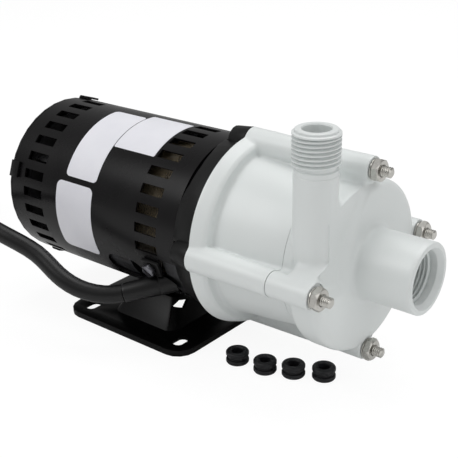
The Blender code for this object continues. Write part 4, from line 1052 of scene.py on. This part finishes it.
def makeLabels():
    radius = labelPlan["radius"]
    for plan in labelPlan["labels"]:
        (left, right), (low, high) = plan["x"], plan["turn"]
        arc = math.radians(high - low) * radius
        work = bmesh.new()
        bmesh.ops.create_grid(work, x_segments=1, y_segments=1, size=0.5)
        bmesh.ops.scale(work, vec=((right - left) * mm, arc * mm, 1), verts=work.verts)
        bmesh.ops.bevel(
            work, geom=work.verts[:], offset=plan["corner"] * mm, segments=6, profile=0.5,
            affect="VERTICES", material=-1)
        cuts = round(arc / labelPlan["cutEvery"])
        for step in range(1, cuts):
            cutFlat(work, (0, (step / cuts - 0.5) * arc * mm, 0), (0, 1, 0))
        for vert in work.verts:
            turn = math.radians((low + high) / 2) + vert.co.y / (radius * mm)
            vert.co = onCircle(
                (left + right) / 2 + vert.co.x / mm, radius, math.degrees(turn))
        bmesh.ops.recalc_face_normals(work, faces=work.faces)
        middle = max(work.faces, key=lambda face: face.calc_area())
        if middle.normal.dot(middle.calc_center_median() - axle) < 0:
            bmesh.ops.reverse_faces(work, faces=work.faces)
        made = solid(plan["name"], work)
        sheet = made.modifiers.new("sheet", "SOLIDIFY")
        sheet.thickness = labelPlan["thick"] * mm
        sheet.offset = 0.0
        settle(made)
        piece(made, "motor_black", sharp=40, finish="label")


makeLabels()
print("labels laid")

# Winding: the front end turns that show through the slots

windingPlan = {
    "inner": 25.0, "outer": 37.0, "front": -9.7, "coreFront": -29.4, "coreRear": -76.9,
    "rear": -85.1, "bundles": 18, "ripple": 0.03, "bars": 18, "barSize": (49, 9, 3.6),
    "barAt": (-53, 31),
}


def windingBar(degrees):
    # The wires of one slot, which join the front and rear end turns
    size = [side * mm for side in windingPlan["barSize"]]
    return block(size, onCircle(*windingPlan["barAt"], degrees), turned(degrees))


def makeWinding():
    plan = windingPlan
    outer, inner = plan["outer"], plan["inner"]
    back, face = plan["coreFront"] + 0.3, plan["front"]
    front = spin([
        (back, outer - 1.5), (back + 3, outer - 0.2), (face - 5, outer),
        (face - 1.5, outer - 1.6), (face, outer - 4.5), (face, inner + 4),
        (face - 2, inner + 1), (back, inner)], 216)
    for vert in front.verts:
        turn = math.atan2(vert.co.z - axle.z, vert.co.y)
        swell = 0.965 + plan["ripple"] * math.cos(plan["bundles"] * turn + vert.co.x * 260)
        vert.co.y *= swell
        vert.co.z = axle.z + (vert.co.z - axle.z) * swell
    start, end = plan["rear"], plan["coreRear"]
    rear = spin([
        (start, inner), (start, outer - 3), (start + 1.6, outer - 0.6), (end, outer - 0.5),
        (end, inner)], 144)
    bars = [windingBar(360 // plan["bars"] * index) for index in range(plan["bars"])]
    piece(("winding", together(front, rear, *bars)), "winding_copper", ("winding",), 40)


makeWinding()
print("winding made")

# Cooling fan: a backed disc with curved blades behind the stator

fanPlan = {
    "front": -90.1, "rear": -104.0, "disc": 1.5, "radius": 38.5, "hub": 8.0, "bore": 3.4,
    "blades": 9, "bladeThick": 1.4, "sweep": 28,
}


def makeFan():
    plan = fanPlan
    discFront = plan["rear"] + plan["disc"]
    front, rear, outer, hub = pick(plan, "front", "rear", "radius", "hub")
    wheel = spin([
        (front, plan["bore"]), (front, hub - 0.6), (front - 0.6, hub),
        (discFront + 1.5, hub + 0.5), (discFront, hub + 2.5), (discFront, outer - 0.5),
        (discFront + 0.6, outer), (rear, outer), (rear, plan["bore"])], 96)
    low, high = hub - 1, outer - 3
    blades = []
    for index in range(plan["blades"]):
        blade = block(
            ((front - discFront + 0.5) * mm, (high - low) * mm, plan["bladeThick"] * mm),
            Vector(((front + discFront - 0.5) / 2, (high + low) / 2, 0)) * mm)
        bmesh.ops.subdivide_edges(
            blade, edges=[edge for edge in blade.edges
                          if abs(edge.verts[0].co.y - edge.verts[1].co.y) > 5 * mm],
            cuts=10, use_grid_fill=True)
        for vert in blade.verts:
            share = (vert.co.y / mm - low) / (high - low)
            turn = 360 * index / plan["blades"] + plan["sweep"] * share ** 1.3
            vert.co = turned(turn) @ vert.co + axle
        blades.append(blade)
    piece(("coolingFan", together(wheel, *blades)), "fan_plastic", ("cooling_fan",), 32, "rotor")


makeFan()
print("fan made")

# Grommets that lie in front of the base

grommetPlan = {
    "places": ((27.7, -24.9), (43.3, -23.4), (56.1, -18.1), (68.9, -11.5)),
    "radius": 5.6, "bore": 2.8, "height": 6.4, "waist": 4.6,
}


def makeGrommets():
    plan = grommetPlan
    radius, bore, height, waist = pick(plan, "radius", "bore", "height", "waist")
    for index, (x, y) in enumerate(plan["places"]):
        profile = [
            (height, bore + 0.5), (height, radius - 1.0), (height - 0.25, radius - 0.35),
            (height - 0.8, radius), (height - 1.9, radius), (height - 2.3, radius - 0.3),
            (height - 2.45, waist), (2.45, waist), (2.3, radius - 0.3), (1.9, radius),
            (0.8, radius), (0.25, radius - 0.35), (0.0, radius - 1.0), (0.0, bore + 0.5),
            (0.5, bore), (height - 0.5, bore)]
        work = spin(profile, 64, Vector((x * mm, y * mm, 0)), alongZ)
        number = str(index + 1)
        piece(("grommet" + number, work), "grommet_rubber", ("grommet_" + number,), 40)


makeGrommets()
print("grommets made")

# The cord clamp's slotted hex screw

clampPlan = {
    "x": -11.0, "degrees": 199.5, "seatRadius": 44.6, "flats": 6.35, "height": 2.6,
    "turn": 20, "slotWidth": 0.9, "slotDepth": 1.6, "slotTurn": 55, "shankRadius": 1.7,
}


def makeClampScrew():
    plan = clampPlan
    out = outward(plan["degrees"])
    seat = onCircle(plan["x"], plan["seatRadius"], plan["degrees"]) + out * 0.3 * mm
    head = hexagon(plan["flats"], plan["height"])
    move(head, turned(plan["turn"], "Z"))
    roundEdges(head, 0.35, 2)
    slot = block((12 * mm, plan["slotWidth"] * mm, plan["slotDepth"] * mm),
                 alongZ * plan["height"] / 2 * mm, turned(plan["slotTurn"], "Z"))
    for work in (head, slot):
        move(work, stood(seat + out * plan["height"] / 2 * mm, out))
    made = solid("clampScrew", head)
    carve(made, slot)
    shank = rod(plan["shankRadius"] * mm, seat - out * 4.2 * mm, seat + out * 0.2 * mm, 24)
    work = shapeOf(made.data)
    bpy.data.objects.remove(made, do_unlink=True)
    piece(("clampScrew", together(work, shank)), "clamp_screw_steel", ("clamp_screw",), 24)


makeClampScrew()
print("clamp screw made")

# CAD shapes that are right as they are get rounded edges

softened = {
    "rear_cover": ("rearCover", 0.35, "motor_black"),
    "adapter": ("adapterRing", 0.5, "adapter_black"),
    "base_plate": ("basePlate", 0.45, "base_black"),
    "cord_clamp": ("cordClamp", 0.3, "adapter_black"),
}
for node, (name, width, slotName) in softened.items():
    made = solid(name, copyOf(node))
    softEdges(made, width, 3, 40)
    piece(made, slotName, (node,), 38)
print("edges softened")

# Every CAD node that stays gets its finish

carried = {
    "bell_metal": ("front_bell",),
    "core_iron": ("stator_core", "rotor_core"),
    "shaft_steel": ("motor_shaft", "rear_bearing", "front_bearing", "base_screw_1",
                    "base_screw_2", "drive_hub", "set_screw"),
    "barrier_plastic": ("rear_housing",),
    "impeller_plastic": ("impeller",),
    "magnet_iron": ("drive_magnet", "driven_magnet"),
    "ceramic": ("spindle", "front_thrust_washer", "rear_thrust_washer"),
    "carbon": ("impeller_bushing",),
    "seal_rubber": ("o_ring",),
}
for slotName, nodes in carried.items():
    for node in nodes:
        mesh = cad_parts[node].data
        mesh.materials.clear()
        mesh.materials.append(finishes[slotName])
print("carried nodes finished")

# Floor, lamps and world

stagePlan = {
    "floorColour": (246, 246, 246),
    "whiteShare": 0.86,
    "lamps": (
        {"name": "key", "place": (-0.60, -0.85, 1.05), "size": 0.9, "watts": 5.6},
        {"name": "fill", "place": (1.05, -0.15, 0.55), "size": 0.9, "watts": 2.0},
        {"name": "top", "place": (0.0, 0.35, 1.25), "size": 1.1, "watts": 8.0},
    ),
    "world": 0.36,
}


def makeStage():
    plan = stagePlan
    work = bmesh.new()
    bmesh.ops.create_grid(work, x_segments=1, y_segments=1, size=6.0)
    floor = solid("floor", work)
    finish = Finish("floorWhite", Roughness=0.7)
    finish.feed(finish.shader.inputs["Base Color"], finish.blend(
        finish.noise(3, 3.0), plan["floorColour"], (242, 242, 242)))
    path = finish.add("ShaderNodeLightPath", {}, {}, "Is Camera Ray")
    glow = finish.add("ShaderNodeEmission", {}, {"Color": (1, 1, 1, 1), "Strength": 1.06})
    mixed = finish.add("ShaderNodeMixShader", {}, {
        0: path * plan["whiteShare"], 1: Wire(finish, finish.shader.outputs[0]), 2: glow})
    finish.feed(finish.tree.nodes["Material Output"].inputs["Surface"], mixed)
    floor.data.materials.append(finish.material)
    target = Vector((0.02, 0, 0.06))
    for lamp in plan["lamps"]:
        light = bpy.data.lights.new(lamp["name"], "AREA")
        light.shape = "DISK"
        light.size = lamp["size"]
        light.energy = lamp["watts"]
        made = bpy.data.objects.new(lamp["name"], light)
        made.location = lamp["place"]
        made.rotation_euler = (target - made.location).to_track_quat("-Z", "Y").to_euler()
        scene.collection.objects.link(made)
    world = bpy.data.worlds.new("studio")
    scene.world = world
    world.use_nodes = True
    tree = world.node_tree
    background = tree.nodes["Background"]
    background.inputs["Color"].default_value = (1, 1, 1, 1)
    rays = tree.nodes.new("ShaderNodeLightPath")
    level = tree.nodes.new("ShaderNodeMapRange")
    level.inputs["To Min"].default_value = plan["world"]
    level.inputs["To Max"].default_value = 1.0
    tree.links.new(rays.outputs["Is Camera Ray"], level.inputs["Value"])
    tree.links.new(level.outputs["Result"], background.inputs["Strength"])
    scene.view_settings.view_transform = "Standard"


makeStage()
print("stage lit")
